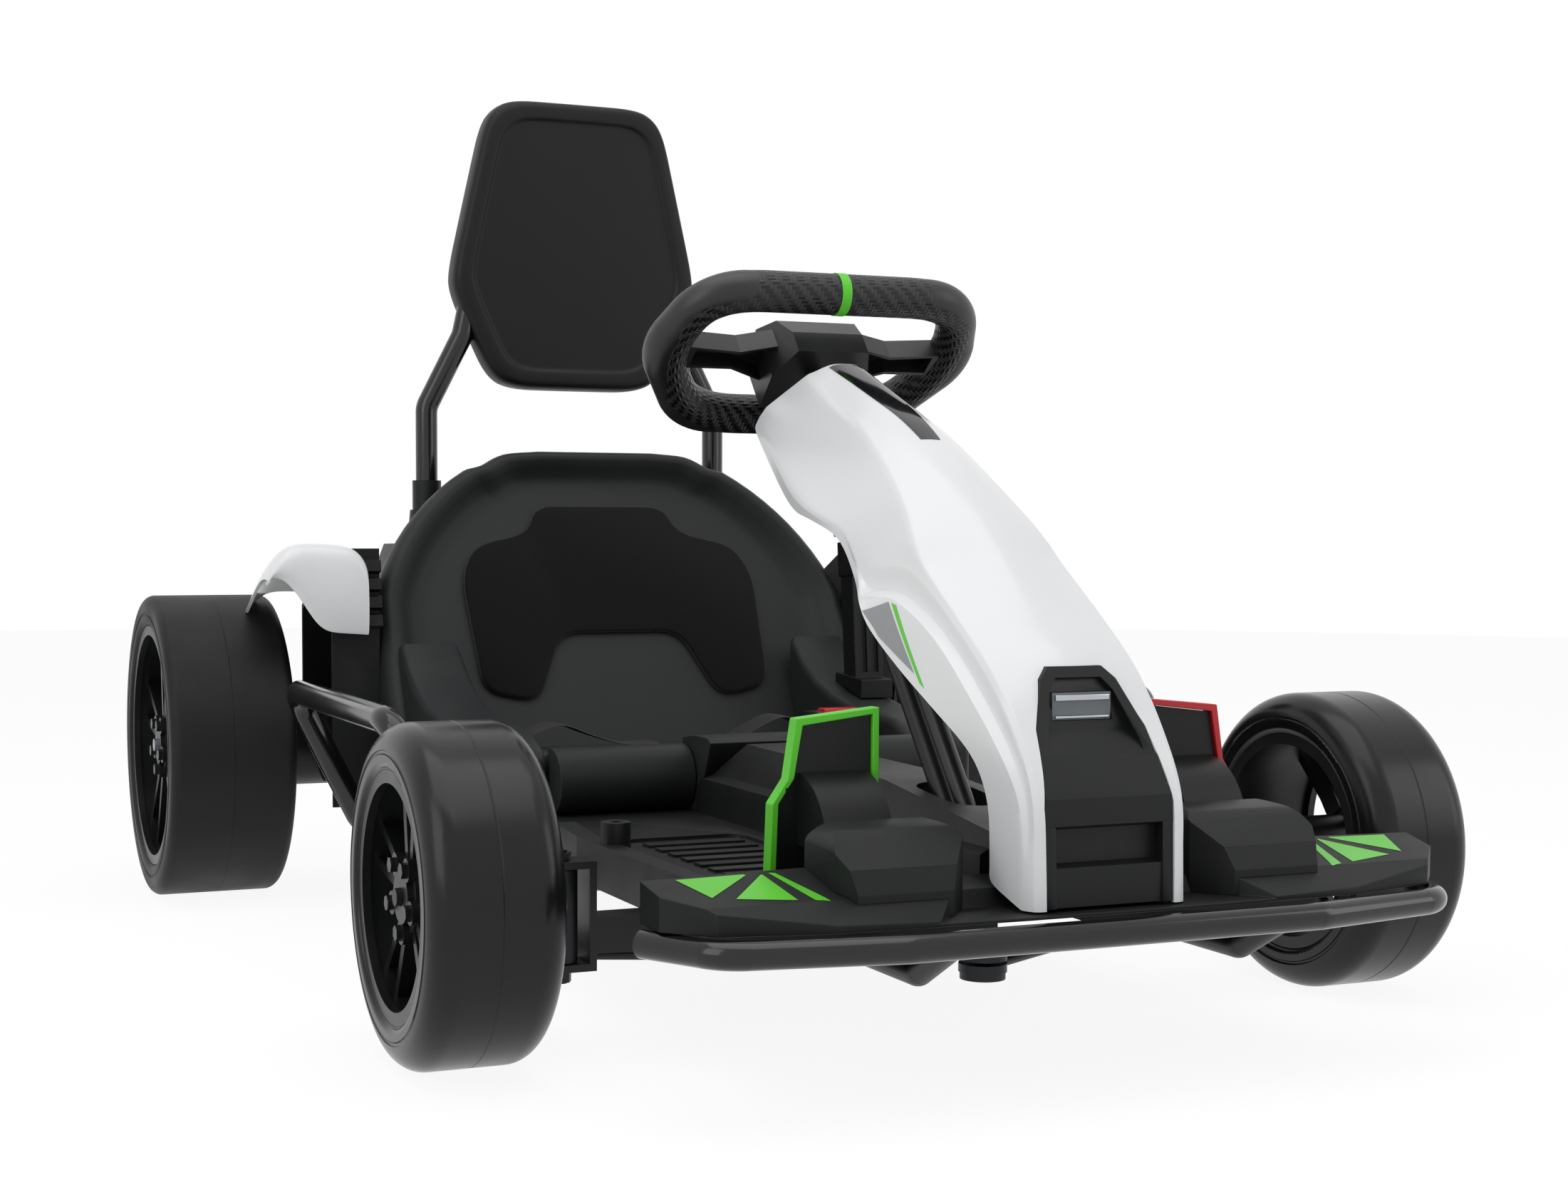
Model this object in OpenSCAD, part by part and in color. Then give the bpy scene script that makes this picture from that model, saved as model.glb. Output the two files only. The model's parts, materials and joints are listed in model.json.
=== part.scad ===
// Electric drift kart for a child: tube frame, moulded floor and bucket seat, white nose fairing.
// The kart faces -Y and its right side is -X. The origin is on the ground, mid-length, mid-width.

/* [Layout] */
// Distance between the front and rear axle lines
wheelbase = 780; // [760:5:800]
// Distance from the kart's middle back to the rear axle
rear_axle_y = 450; // [445:1:460]
// Distance from the kart's middle forward to the bumper's front face
nose_reach = 595; // [590:1:605]

/* [Front wheels] */
// Outer radius of a front tyre
front_r = 115; // [108:1:120]
// Width of a front tyre
front_w = 92; // [84:1:96]
// Distance from the middle to a front wheel's centre
front_track = 357.6; // [354:0.2:366]
// Rounding of a front tyre's shoulder
front_shoulder = 20; // [10:1:24]

/* [Rear wheels] */
// Outer radius of a rear tyre
rear_r = 145; // [138:1:148]
// Width of a rear tyre
rear_w = 116; // [104:1:120]
// Distance from the middle to a rear wheel's centre
rear_track = 380.4; // [378:0.2:388]
// Rounding of a rear tyre's shoulder
rear_shoulder = 9; // [5:1:14]

/* [Rims] */
// Number of double spokes in each rim
spokes = 5; // [4:1:6]
// Thickness of a rim's barrel
rim_wall = 4; // [3:0.5:6]
// Diameter of the stub axles and of the rear axle
axle_d = 12; // [10:0.5:14]
// Running gap round each axle
axle_gap = 0.3; // [0.2:0.05:0.5]

/* [Steering] */
// Lean of the steering shaft back from upright
column_lean = 38.5; // [37:0.5:40]
// Height of the steering wheel's centre
wheel_z = 496; // [486:1:506]
// Distance of the steering wheel's centre ahead of the kart's middle
wheel_y = 119; // [112:1:126]
// Thickness of the steering wheel's rim
grip_d = 31; // [26:1:34]
// Half width of the steering wheel, to the middle of its rim
grip_half_w = 127; // [115:1:135]
// Diameter of the steering shaft
shaft_d = 14; // [12:1:16]
// Distance from a front wheel's centre in to its kingpin
kingpin_in = 75.6; // [74:0.2:80]
// Diameter of a kingpin
kingpin_d = 8; // [6:0.5:10]
// Length of a steering arm from kingpin to tie rod
arm_l = 62; // [56:1:66]
// Diameter of a tie rod
tie_d = 8; // [6:0.5:10]

/* [Frame] */
// Outer size of the front beam's square tube
beam_w = 25; // [20:1:28]
// Height of the frame tubes' middle
frame_z = 82; // [78:1:88]
// Diameter of the bumper tube
bumper_d = 18; // [14:1:22]
// Height of the bumper tube's middle
bumper_z = 108; // [104:1:112]
// Diameter of a side bar
bar_d = 22; // [18:1:25]
// Distance from the middle to a side bar
bar_x = 340; // [334:1:346]
// Height of a side bar's middle
bar_z = 210; // [195:1:225]
// Diameter of a backrest post
post_d = 22; // [18:1:25]

/* [Body] */
// Height of the floor
floor_z = 116; // [112:1:120]
// Wall of the nose fairing
skin_t = 3; // [2:0.5:4]
// Depth of the bucket seat's shell behind its front surface
seat_wall = 24; // [20:1:26]
// Width of a sill's outer edge from the middle
sill_x = 222; // [218:1:226]
// Height of the side sills above the floor
sill_h = 12; // [8:1:14]
// Thickness of the seat pad
pad_t = 6; // [4:1:9]
// Thickness of the backrest panel
backrest_t = 38; // [34:1:42]
// Radius of the charging socket's bore
socket_r = 4; // [3.5:0.1:5]
// Gap between pieces that rest against each other
seat_gap = 0.3; // [0.2:0.05:0.5]

/* [Hidden] */
$fn = 48;
front_axle_y = rear_axle_y - wheelbase;
nose_y = -nose_reach;
kingpin_x = front_track - kingpin_in;
front_seat_r = front_r * 0.735;
rear_seat_r = rear_r * 0.80;
beam_half = kingpin_x - 20;
seat_lean = 26.6;

// A unit vector along v
function unit(v) = v / norm(v);
// Puts its children in a frame at p, with its X and Z axes along ax and az
module place(p, ax, az) {
    ay = cross(az, ax);
    multmatrix([
        [ax.x, ay.x, az.x, p.x],
        [ax.y, ay.y, az.y, p.y],
        [ax.z, ay.z, az.z, p.z],
        [0, 0, 0, 1]])
        children();
}
// A straight round rod from a to b, its facets lined up with the vector side when one is given
module rod(a, b, d, side = undef) {
    az = unit(b - a);
    any_side = abs(az.x) < 0.9 ? unit(cross([1, 0, 0], az)) : unit(cross([0, 1, 0], az));
    place(a, is_undef(side) ? any_side : side, az) cylinder(h = norm(b - a), d = d);
}
// A round tube through the points in path, with each corner bent to the radius bend_r. A bend is a
// hair thicker than the straights, which run a little way into it.
module bent_tube(path, d, bend_r, closed = false) {
    n = len(path);
    straights = closed ? n : n - 1;
    way = [for (i = [0:straights - 1]) unit(path[(i + 1) % n] - path[i])];
    corners = closed ? [0:n - 1] : [1:n - 2];
    turn = [for (i = [0:n - 1]) is_bend(i, n, closed) ? acos(way[(i + n - 1) % n] * way[i]) : 0];
    cut = [for (a = turn) a == 0 ? 0 : bend_r * tan(a / 2) - 1];
    normal = [for (i = [0:n - 1])
        is_bend(i, n, closed) ? unit(cross(way[(i + n - 1) % n], way[i])) : undef];
    for (i = [0:straights - 1]) {
        j = (i + 1) % n;
        rod(path[i] + way[i] * cut[i], path[j] - way[i] * cut[j], d,
            is_undef(normal[i]) ? normal[j] : normal[i]);
    }
    for (i = corners) {
        way_in = way[(i + n - 1) % n];
        middle = path[i] + unit(way[i] - way_in) * bend_r / cos(turn[i] / 2);
        start = path[i] - way_in * bend_r * tan(turn[i] / 2);
        place(middle, unit(start - middle), normal[i])
            rotate_extrude(angle = turn[i]) translate([bend_r, 0]) circle(d = d + 0.12);
    }
}
function is_bend(i, n, closed) = closed || (i > 0 && i < n - 1);
// Children turned so that their Z axis runs along X, outward on the side s (1 left, -1 right)
module outward(s) {
    rotate([0, 90 * s, 0]) children();
}
// Children mirrored to the side s (1 left, -1 right)
module on_side(s) {
    mirror([s < 0 ? 1 : 0, 0, 0]) children();
}
// A box given by its lowest corner and its size, with its upright edges rounded
module round_box(size, r) {
    linear_extrude(size.z)
        round_rect([size.x, size.y], r);
}
// A rectangle with round corners, its lowest corner at the origin
module round_rect(size, r) {
    translate([r, 0]) square([size.x - 2 * r, size.y]);
    translate([0, r]) square([size.x, size.y - 2 * r]);
    for (x = [r, size.x - r], y = [r, size.y - r])
        translate([x, y]) circle(r);
}

// Wheels

// Half section of a tyre: radius along X, width along Y
module tyre_section(r, w, seat_r, shoulder) {
    bead = 5;
    difference() {
        intersection() {
            translate([seat_r, -w]) square([r, 2 * w]);
            union() {
            translate([seat_r, -w / 2 + bead]) square([r - shoulder - seat_r, w - 2 * bead]);
            translate([seat_r + bead, -w / 2]) square([r - shoulder - seat_r - bead, w]);
            translate([seat_r, -w / 2 + shoulder]) square([r - seat_r, w - 2 * shoulder]);
            for (k = [-1, 1])
                translate([r - shoulder, k * (w / 2 - shoulder)]) circle(shoulder);
            for (k = [-1, 1])
                translate([seat_r + bead, k * (w / 2 - bead)]) circle(bead);
            }
        }
        // Groove round each sidewall, and the mould's parting line round the tread
        for (k = [-1, 1])
            translate([seat_r + 11, k * w / 2]) circle(1.6);
        translate([r + 0.5, 0]) circle(0.9);
    }
}
module tyre(r, w, seat_r, shoulder) {
    color("#1b1b1c")
        rotate_extrude($fn = 96)
        tyre_section(r, w, seat_r, shoulder);
}
// A moulded rim, its outer face toward +Z and its middle plane at Z = 0
module rim(seat_r, w) {
    hub_r = 25;
    lip = 5;
    face_z = w / 2 - 14;
    barrel_r = seat_r - seat_gap;
    color("#26272a") difference() {
        union() {
            rotate_extrude($fn = 96) {
                translate([barrel_r - rim_wall, -w / 2 + 3]) square([rim_wall, w - 6]);
                translate([barrel_r - lip - rim_wall, w / 2 - 9]) square([lip + 1, 6]);
                translate([barrel_r - lip - rim_wall, -w / 2 + 3]) square([lip + 1, 4]);
            }
            translate([0, 0, -w / 2 + 12]) cylinder(r = hub_r - 7, h = w - 22);
            translate([0, 0, face_z - 14]) cylinder(r = hub_r, h = 14);
            translate([0, 0, face_z - 10]) cylinder(r = hub_r + 6, h = 6);
            for (k = [0:spokes - 1])
                rotate([0, 0, k * 360 / spokes])
                spoke_pair(hub_r, barrel_r - rim_wall + 1, face_z);
            for (k = [0:spokes - 1])
                rotate([0, 0, (k + 0.5) * 360 / spokes])
                translate([hub_r - 1, 0, face_z - 8])
                cylinder(r = 8, h = 12);
        }
        translate([0, 0, -w]) cylinder(d = axle_d + 2 * axle_gap, h = 2 * w);
    }
}
// Two slim bars that spread from the hub to the barrel, and the deep web behind each
module spoke_pair(r_in, r_out, face_z) {
    for (k = [-1, 1])
        rotate([0, 0, k * 9])
        translate([r_in - 4, k * 1.5 - 3.5, face_z - 16])
        cube([r_out - r_in + 5, 7, 14]);
    translate([r_in - 4, -9, face_z - 18]) cube([r_out - r_in - 8, 18, 5]);
}
// Lug nuts and the axle's end nut
module wheel_nuts(face_z) {
    for (k = [0:spokes - 1])
        rotate([0, 0, (k + 0.5) * 360 / spokes])
        translate([24, 0, face_z + 3.9])
        cylinder(d = 11, h = 4, $fn = 6);
}
module front_tyre(s) {
    translate([s * front_track, front_axle_y, front_r]) outward(s)
        tyre(front_r, front_w, front_seat_r, front_shoulder);
}
module rear_tyre(s) {
    translate([s * rear_track, rear_axle_y, rear_r]) outward(s)
        tyre(rear_r, rear_w, rear_seat_r, rear_shoulder);
}
module front_rim(s) {
    translate([s * front_track, front_axle_y, front_r]) outward(s) {
        rim(front_seat_r, front_w);
        color("#1a1a1c") wheel_nuts(front_w / 2 - 14);
    }
}
module rear_rim(s) {
    translate([s * rear_track, rear_axle_y, rear_r]) outward(s) {
        rim(rear_seat_r, rear_w);
        color("#1a1a1c") wheel_nuts(rear_w / 2 - 14);
    }
}

// Frame

rail_x = 120;
rail_d = 25;
rail_top = frame_z + rail_d / 2 + seat_gap;
axle_plate_t = 8;
module frame() {
    back_y = rear_axle_y + 40;
    nose_tube = [0, nose_y + bumper_d / 2, bumper_z];
    color("#1d1e20") difference() {
        union() {
            for (s = [-1, 1])
                rod([s * rail_x, front_axle_y + beam_w / 2, frame_z], [s * rail_x, back_y, frame_z],
                    rail_d);
            // Cross tubes under the seat's front and behind the rear axle
            for (y = [-60, back_y])
                rod([-rail_x, y, frame_z], [rail_x, y, frame_z], rail_d - 3);
            // Outriggers that carry the bumper
            for (s = [-1, 1])
                bent_tube([[s * rail_x, front_axle_y - beam_w / 2, frame_z],
                    [s * rail_x, nose_y + 55, frame_z], nose_tube + [s * rail_x, 0, 0]], 16, 12);
            // Plates that hold the rear axle
            for (s = [-1, 1])
                translate([s * rail_x - axle_plate_t / 2, rear_axle_y - 20, frame_z])
                cube([axle_plate_t, 40, rear_r - frame_z + 20]);
        }
        rod([-200, rear_axle_y, rear_r], [200, rear_axle_y, rear_r], axle_d + 2 * axle_gap);
        // The outriggers are coped round the bumper
        rod(nose_tube - [160, 0, 0], nose_tube + [160, 0, 0], bumper_d + 2 * seat_gap);
    }
}
ear_t = 5;
ear_low = 58;
ear_high = 128;
// Square beam with a bracket and two eyes for the kingpin at each end
module front_beam() {
    color("#1d1e20") {
        translate([-beam_half, front_axle_y - beam_w / 2, frame_z - beam_w / 2])
            cube([2 * beam_half, beam_w, beam_w]);
        for (s = [-1, 1])
            on_side(s) {
                translate([beam_half - 1, front_axle_y - 13, ear_low])
                    cube([ear_t, 26, ear_high - ear_low + ear_t]);
                for (z = [ear_low, ear_high])
                    difference() {
                        union() {
                            translate([beam_half, front_axle_y - 13, z]) cube([20, 26, ear_t]);
                            translate([kingpin_x, front_axle_y, z]) cylinder(r = 13, h = ear_t);
                        }
                        translate([kingpin_x, front_axle_y, z - 1])
                            cylinder(d = kingpin_d + 0.6, h = ear_t + 2);
                    }
            }
    }
}
// Kingpin, sleeve, stub axle and steering arm of one front wheel
module knuckle(s) {
    sleeve_low = ear_low + ear_t + 1;
    sleeve_high = ear_high - 1;
    color("#2a2b2e") on_side(s) {
        translate([kingpin_x, front_axle_y, sleeve_low])
            cylinder(r = 11, h = sleeve_high - sleeve_low);
        translate([kingpin_x, front_axle_y, ear_low - 9])
            cylinder(d = kingpin_d, h = ear_high + ear_t - ear_low + 16);
        translate([kingpin_x, front_axle_y, ear_low - 8]) cylinder(d = 14, h = 7, $fn = 6);
        translate([kingpin_x, front_axle_y, ear_high + ear_t + 0.5]) cylinder(d = 14, h = 5, $fn = 6);
        translate([kingpin_x, front_axle_y, front_r]) rotate([0, 90, 0])
            cylinder(d = axle_d, h = front_track + front_w / 2 - 6 - kingpin_x);
        translate([kingpin_x, front_axle_y, front_r]) rotate([0, 90, 0])
            cylinder(d = axle_d + 8, h = front_track - front_w / 2 + 11 - kingpin_x);
        // The arm reaches back from the sleeve, low enough to pass under the floor
        translate([kingpin_x - 6, front_axle_y, sleeve_low + 2]) cube([12, arm_l, 6]);
        translate([kingpin_x, front_axle_y + arm_l, sleeve_low + 2]) cylinder(r = 8.5, h = 6);
        translate([kingpin_x, front_axle_y + arm_l, tie_z - 7]) cylinder(d = 6, h = sleeve_low + 5 - tie_z + 7);
    }
}
// The shaft's foot carries a drop arm with a ball, and each tie rod's inner eye sits loose round
// that ball, because the linkage is open there.
drop_l = 45;
drop_t = 6;
ball_drop = 17;
shaft_foot_z = 100;
eye_d = 34;
eye_bore = 20;
function column_at(z) = [0, -wheel_y - (wheel_z - z) * tan(column_lean), z];
ball = column_at(shaft_foot_z) + drop_l * [0, cos(column_lean), -sin(column_lean)]
    - ball_drop * [0, sin(column_lean), cos(column_lean)];
tie_z = ball.z - 1;
eye_h = 6;
module tie_rod(s) {
    rise = s < 0 ? eye_h / 2 + 1.2 : -eye_h / 2 - 1.2;
    inner = [0, ball.y, tie_z + rise];
    outer = [kingpin_x, front_axle_y + arm_l, tie_z];
    way = unit(outer - inner);
    color("#2a2b2e") on_side(s) difference() {
        union() {
            rod(inner + way * (eye_d / 2 - 3), outer - way * 5, tie_d);
            translate(outer - [0, 0, 5]) cylinder(d = 16, h = 10);
            translate(inner - [0, 0, eye_h / 2]) cylinder(d = eye_d, h = eye_h);
        }
        translate(outer - [0, 0, 20]) cylinder(d = 6.6, h = 40);
        translate(inner - [0, 0, eye_h]) cylinder(d = eye_bore, h = 2 * eye_h);
    }
    // The lower eye is closed by a cap
    if (s > 0)
        color("#1c1c1e") translate(inner - [0, 0, eye_h / 2 + 5]) cylinder(d = eye_d - 2, h = 6);
}
module bumper() {
    y = nose_y + bumper_d / 2;
    color("#131314")
        bent_tube([[-292, y + 76, bumper_z], [-262, y + 20, bumper_z], [-150, y, bumper_z],
            [150, y, bumper_z], [262, y + 20, bumper_z], [292, y + 76, bumper_z]], bumper_d, 30);
}
// Side bar: out from the rail, up, forward beside the seat and down again
module side_bar(s) {
    back = rear_axle_y - rear_r - 64;
    front = front_axle_y + front_r + 110;
    low_x = bar_x - 64;
    color("#131314") difference() {
        bent_tube([[s * rail_x, back, frame_z], [s * low_x, back, frame_z], [s * bar_x, back, bar_z],
            [s * bar_x, front, bar_z], [s * low_x, front, frame_z], [s * rail_x, front, frame_z]],
            bar_d, 26);
        // Coped round the rail
        rod([s * rail_x, front - 60, frame_z], [s * rail_x, back + 60, frame_z],
            rail_d + 2 * seat_gap);
    }
}

// Floor and front deck

module floor_pan() {
    color("#2b2c2e") difference() {
        union() {
            translate([0, 0, rail_top]) linear_extrude(floor_z - rail_top) floor_outline(0);
            // Raised sills
            translate([0, 0, floor_z - 1]) linear_extrude(sill_h + 1) difference() {
                floor_outline(0);
                floor_outline(16);
                translate([-100, -600]) square([200, 700]);
                translate([-400, -112]) square([800, 300]);
            }
            // Middle tunnel from the nose back to the seat, its sides leaning in
            intersection() {
                tunnel_form(0);
                translate([-60, -600, floor_z - 4]) cube([120, 700, 100]);
            }
            // Screw boss on each sill
            for (s = [-1, 1])
                translate([s * (sill_x - 14), -236, floor_z]) cylinder(r = 11, h = sill_h + 16);
        }
        // Long hole for the column
        for (y = [-393, -372, -352])
            translate([0, y, 0]) cylinder(d = 40, h = 300);
        translate([-20, -393, 0]) cube([40, 41, 300]);
        // Hollow under the tunnel for the steering
        translate([-36, -500, 60]) cube([72, 430, 90]);
        // Sunken foot rests with ribs in them
        for (s = [-1, 1]) difference() {
            translate([s * 118 - 50, -345, floor_z - 3]) round_box([100, 205, 5], 14);
            for (k = [0:6])
                translate([s * 118 - 40, -330 + k * 26, floor_z - 4]) cube([80, 14, 3.4]);
        }
        for (s = [-1, 1])
            translate([s * (sill_x - 14), -236, floor_z + sill_h + 12]) cylinder(d = 9, h = 10, $fn = 6);
    }
}
// The tunnel's form down to the ground, grown by g
module tunnel_form(g) {
    half = [[29, 179.5], [43, 150], [50, 146], [52, -g]];
    intersection() {
        translate([0, 100, 0]) rotate([90, 0, 0]) linear_extrude(700)
            polygon(concat([for (p = half) p + [g, g]],
                [for (k = [len(half) - 1:-1:0]) [-half[k].x - g, half[k].y + g]]));
        translate([-60, 0, 0]) rotate([90, 0, 90]) linear_extrude(120)
            polygon([[deck_back, 0], [deck_back, 159 + g], [-318, 176 + g], [-66, 178.5 + g],
                [-4 + g, 135 + g], [-4 + g, 0]]);
    }
}
// The floor seen from above, drawn in by g
module floor_outline(g) {
    half = [[178, 20], [190, -40], [212, -111], [sill_x, -190], [sill_x, deck_back + 3],
        [128, deck_back]];
    polygon(concat([for (p = half) [p.x - g, p.y]],
        [for (k = [len(half) - 1:-1:0]) [-half[k].x + g, half[k].y]]));
}
// Lines of the deck's top over its wings and over its lower middle: distance behind the bumper's
// front, and height
wing_line = [[18, 119.5], [45, 134], [104, 146.5]];
middle_line = [[18, 119.5], [62, 119.5], [66, 131], [104, 134]];
deck_back = nose_y + 103;
// The space under one of these lines, lifted by g
module under_line(line, g) {
    last = line[len(line) - 1];
    translate([-400, nose_y, 0]) rotate([90, 0, 90]) linear_extrude(800)
        polygon(concat([[-60, 0], [-60, line[0].y + g]], [for (p = line) p + [0, g]],
            [[last.x + 60, last.y + g], [last.x + 60, 0]]));
}
// The deck's lower middle seen from above
module middle_plan() {
    translate([0, nose_y])
        polygon([[-132, 10], [132, 10], [86, 65], [80, 96], [80, 170], [-80, 170], [-80, 96],
            [-86, 65]]);
}
// The space under the deck's top, lifted by g
module under_deck_top(g) {
    difference() {
        under_line(wing_line, g);
        linear_extrude(300) middle_plan();
    }
    intersection() {
        under_line(middle_line, g);
        linear_extrude(300) middle_plan();
    }
}
module front_deck() {
    low = bumper_z + bumper_d / 2 + seat_gap;
    half = [[290, 95], [288, 67], [262, 39], [190, 23], [60, 18]];
    back = deck_back - nose_y - seat_gap;
    color("#2b2c2e") intersection() {
        translate([0, nose_y, low]) linear_extrude(40)
            polygon(concat([for (p = half) [-p.x, p.y]],
                [for (k = [len(half) - 1:-1:0]) half[k]], [[128, back], [-128, back]]));
        under_deck_top(0);
    }
}
module foot_blocks() {
    for (s = [-1, 1])
        color("#2f3032") on_side(s) difference() {
            intersection() {
                translate([0, nose_y, 110]) linear_extrude(80)
                    polygon([[81, 101], [85, 63], [104, 39], [170, 39], [178, 56], [177, 101]]);
                translate([70, nose_y, 0]) rotate([90, 0, 90]) linear_extrude(120)
                    polygon([[38, 100], [39, 136], [45, 151], [64, 167], [72, 171.5], [96, 174],
                        [101, 166], [101, 100]]);
                translate([81, nose_y + 120, 60]) rotate([90, 0, 0]) linear_extrude(120)
                    round_rect([97, 114], 18);
            }
            under_deck_top(seat_gap);
        }
}

// Nose

// Stations of the fairing from the deck up to the wheel: the ridge's place behind the bumper's
// front (or ahead of the steering wheel, marked 1), ridge z, tilt of the section, half width of the
// ridge, half width of the sides, depth of the shoulder, depth of the sides
fairing_stations = [
    [26, 0, 122, 0, 50, 60, 8, 44],
    [29, 0, 190, -8, 50, 64, 10, 44],
    [67, 0, 261, -38, 46, 68, 16, 66],
    [-308, 1, 347, -50, 42, 76, 24, 84],
    [-253, 1, 389, -54, 36, 72, 26, 80],
    [-207, 1, 424, -62, 24, 60, 24, 84],
    [-68, 1, 483, -67, 16, 46, 16, 78]];
// One thin section slab, shrunk by t on all sides and open below when t is positive
module fairing_slab(st, t) {
    translate([0, st[0] + (st[1] == 1 ? -wheel_y : nose_y), st[2]]) rotate([st[3], 0, 0])
        translate([0, t, 0]) linear_extrude(0.6)
        polygon([[-st[4] + t, 0], [st[4] - t, 0], [st[5] - t, st[6]],
            [st[5] - t, st[7] + 2 * t], [-st[5] + t, st[7] + 2 * t], [-st[5] + t, st[6]]]);
}
module fairing_loft(t) {
    for (k = [0:len(fairing_stations) - 2])
        hull() {
            fairing_slab(fairing_stations[k], t);
            fairing_slab(fairing_stations[k + 1], t);
        }
}
// Front outline of the black nose insert, grown by g
module insert_outline(g) {
    translate([0, g])
        polygon([[-46 - g, 100], [46 + g, 100], [47 + g, 185], [40 + g, 232], [28 + g, 262], [20, 270],
            [-20, 270], [-28 - g, 262], [-40 - g, 232], [-47 - g, 185]]);
}
module fairing() {
    color("#f4f4f4") difference() {
        fairing_loft(0);
        fairing_loft(skin_t);
        under_deck_top(seat_gap);
        // Opening for the nose insert
        translate([0, nose_y + 98, 0]) rotate([90, 0, 0]) linear_extrude(100) insert_outline(0.5);
        // Recess for the window on top
        window_place(0.4);
    }
}
// Closed block in the window's place, grown by g
module window_place(g) {
    a = [0, -wheel_y - 203, 425.7];
    b = [0, -wheel_y - 71, 481.7];
    place(a, [1, 0, 0], cross([1, 0, 0], unit(b - a)))
        translate([-14 - g, -2 - g, -1.8]) cube([28 + 2 * g, norm(b - a) + 2 * g, 6]);
}
module dash_window() {
    color("#2a2a2c") intersection() {
        window_place(0);
        translate([0, 0, -0.2]) fairing_loft(-0.5);
    }
}
module nose_insert() {
    color("#242527") difference() {
        intersection() {
            translate([0, nose_y + 98, 0]) rotate([90, 0, 0]) linear_extrude(120) insert_outline(0);
            union() {
                // Raised border
                difference() {
                    insert_side([[25, 122], [28, 190], [66, 262], [71, 270]]);
                    translate([0, nose_y + 97, 0]) rotate([90, 0, 0]) linear_extrude(120)
                        translate([0, -7]) scale([0.84, 1]) insert_outline(0);
                }
                // Hood over a sunken panel, and the slope under the lamp
                insert_side([[27, 122], [27, 147], [36, 149], [37, 170], [27, 173], [28, 190],
                    [39, 214], [58, 230], [66, 254], [72, 268]]);
            }
        }
        // Lamp recess
        translate([-22, nose_y + 40, 236]) cube([44, 34, 18]);
        under_deck_top(seat_gap);
    }
}
// A block 120 wide whose front follows a line of places behind the bumper's front and heights
module insert_side(line) {
    translate([-60, nose_y, 0]) rotate([90, 0, 90]) linear_extrude(120)
        polygon(concat(line, [[90, line[len(line) - 1].y], [90, line[0].y]]));
}
module lamp() {
    color("#e8eef2") translate([-21.7, nose_y + 62, 236.3]) cube([43.4, 11.6, 17.4]);
}

// Steering column and wheel

axis_up = [0, sin(column_lean), cos(column_lean)];
bearing_z = [126, 380];
post_back = 30;
post_low_z = rail_top;
// Fixed tube behind the shaft, with two bearing blocks on it
module column_support() {
    behind = [0, post_back, 0];
    color("#161617") difference() {
        union() {
            rod(column_at(post_low_z + 2) + behind, column_at(bearing_z[1]) + behind, 16);
            translate([-24, column_at(post_low_z).y + post_back - 8, post_low_z])
                cube([48, front_axle_y + beam_w / 2 - column_at(post_low_z).y - post_back + 8, 4]);
            for (z = bearing_z)
                place(column_at(z), [1, 0, 0], axis_up) translate([0, 0, -9]) {
                    cylinder(d = 26, h = 18);
                    translate([-10, 0, 0]) cube([20, post_back * cos(column_lean) + 12, 18]);
                }
        }
        rod(column_at(60), column_at(470), shaft_d + 0.6);
        translate([-50, -600, 0]) cube([100, 300, post_low_z]);
    }
}
// Steering wheel: rounded rim, hub, spokes, shaft and drop arm
module steering_wheel() {
    centre = [0, -wheel_y, wheel_z];
    color("#1c1c1e") {
        place(centre, [1, 0, 0], axis_up) {
            grip();
            wheel_hub();
        }
        rod(column_at(shaft_foot_z), column_at(wheel_z - 6), shaft_d);
        place(column_at(shaft_foot_z), [1, 0, 0], axis_up) {
            translate([-8, 0, 0]) cube([16, drop_l, drop_t]);
            translate([0, drop_l, 0]) cylinder(r = 8, h = drop_t);
            cylinder(r = 10, h = drop_t);
            translate([0, drop_l, -ball_drop]) cylinder(d = 5, h = ball_drop + 1);
            translate([0, drop_l, -ball_drop]) sphere(d = 9, $fn = 24);
        }
    }
}
// The rim in its own plane: X across, Y up the wheel
module grip() {
    corners = [[108, -70], [131, -2], [86, 72], [-86, 72], [-131, -2], [-108, -70]];
    bent_tube([for (p = corners) [p.x / 127 * grip_half_w, p.y, 0]], grip_d, 44, closed = true);
}
module wheel_hub() {
    // Hub cover, its top sloping up toward the driver
    intersection() {
        translate([-60, 0, 0]) rotate([90, 0, 90]) linear_extrude(120)
            polygon([[-37, -30], [-37, -10], [-26, 12], [-4, 22], [22, 19], [34, 6], [34, -26]]);
        translate([0, 0, -40]) linear_extrude(80)
            polygon([[-30, -38], [30, -38], [42, -6], [38, 35], [-38, 35], [-42, -6]]);
    }
    // Boxed spokes, open below, and the lower spoke
    for (s = [-1, 1]) on_side(s) difference() {
        translate([0, 0, -10]) linear_extrude(18) spoke_outline(0);
        translate([0, 0, -11]) linear_extrude(15) spoke_outline(3);
    }
    translate([-22, 30, -10]) cube([44, 36, 8]);
}
// A spoke in the wheel's plane, drawn in by g
module spoke_outline(g) {
    polygon([[30 + g, -22 + g], [66, -12 + g], [116 - 4 * g, -16 + g], [116 - 4 * g, 8 - g],
        [68, 8 - g], [30 + g, 24 - g]]);
}
// Coloured ring that marks the top of the wheel
module grip_band() {
    color("#5cc832") place([0, -wheel_y, wheel_z], [1, 0, 0], axis_up)
        translate([-4, -70, 0]) rotate([0, 90, 0]) difference() {
            cylinder(d = grip_d + 2.4, h = 8);
            translate([0, 0, -1]) cylinder(d = grip_d + 2 * seat_gap, h = 10);
        }
}

// Pedals

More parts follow.
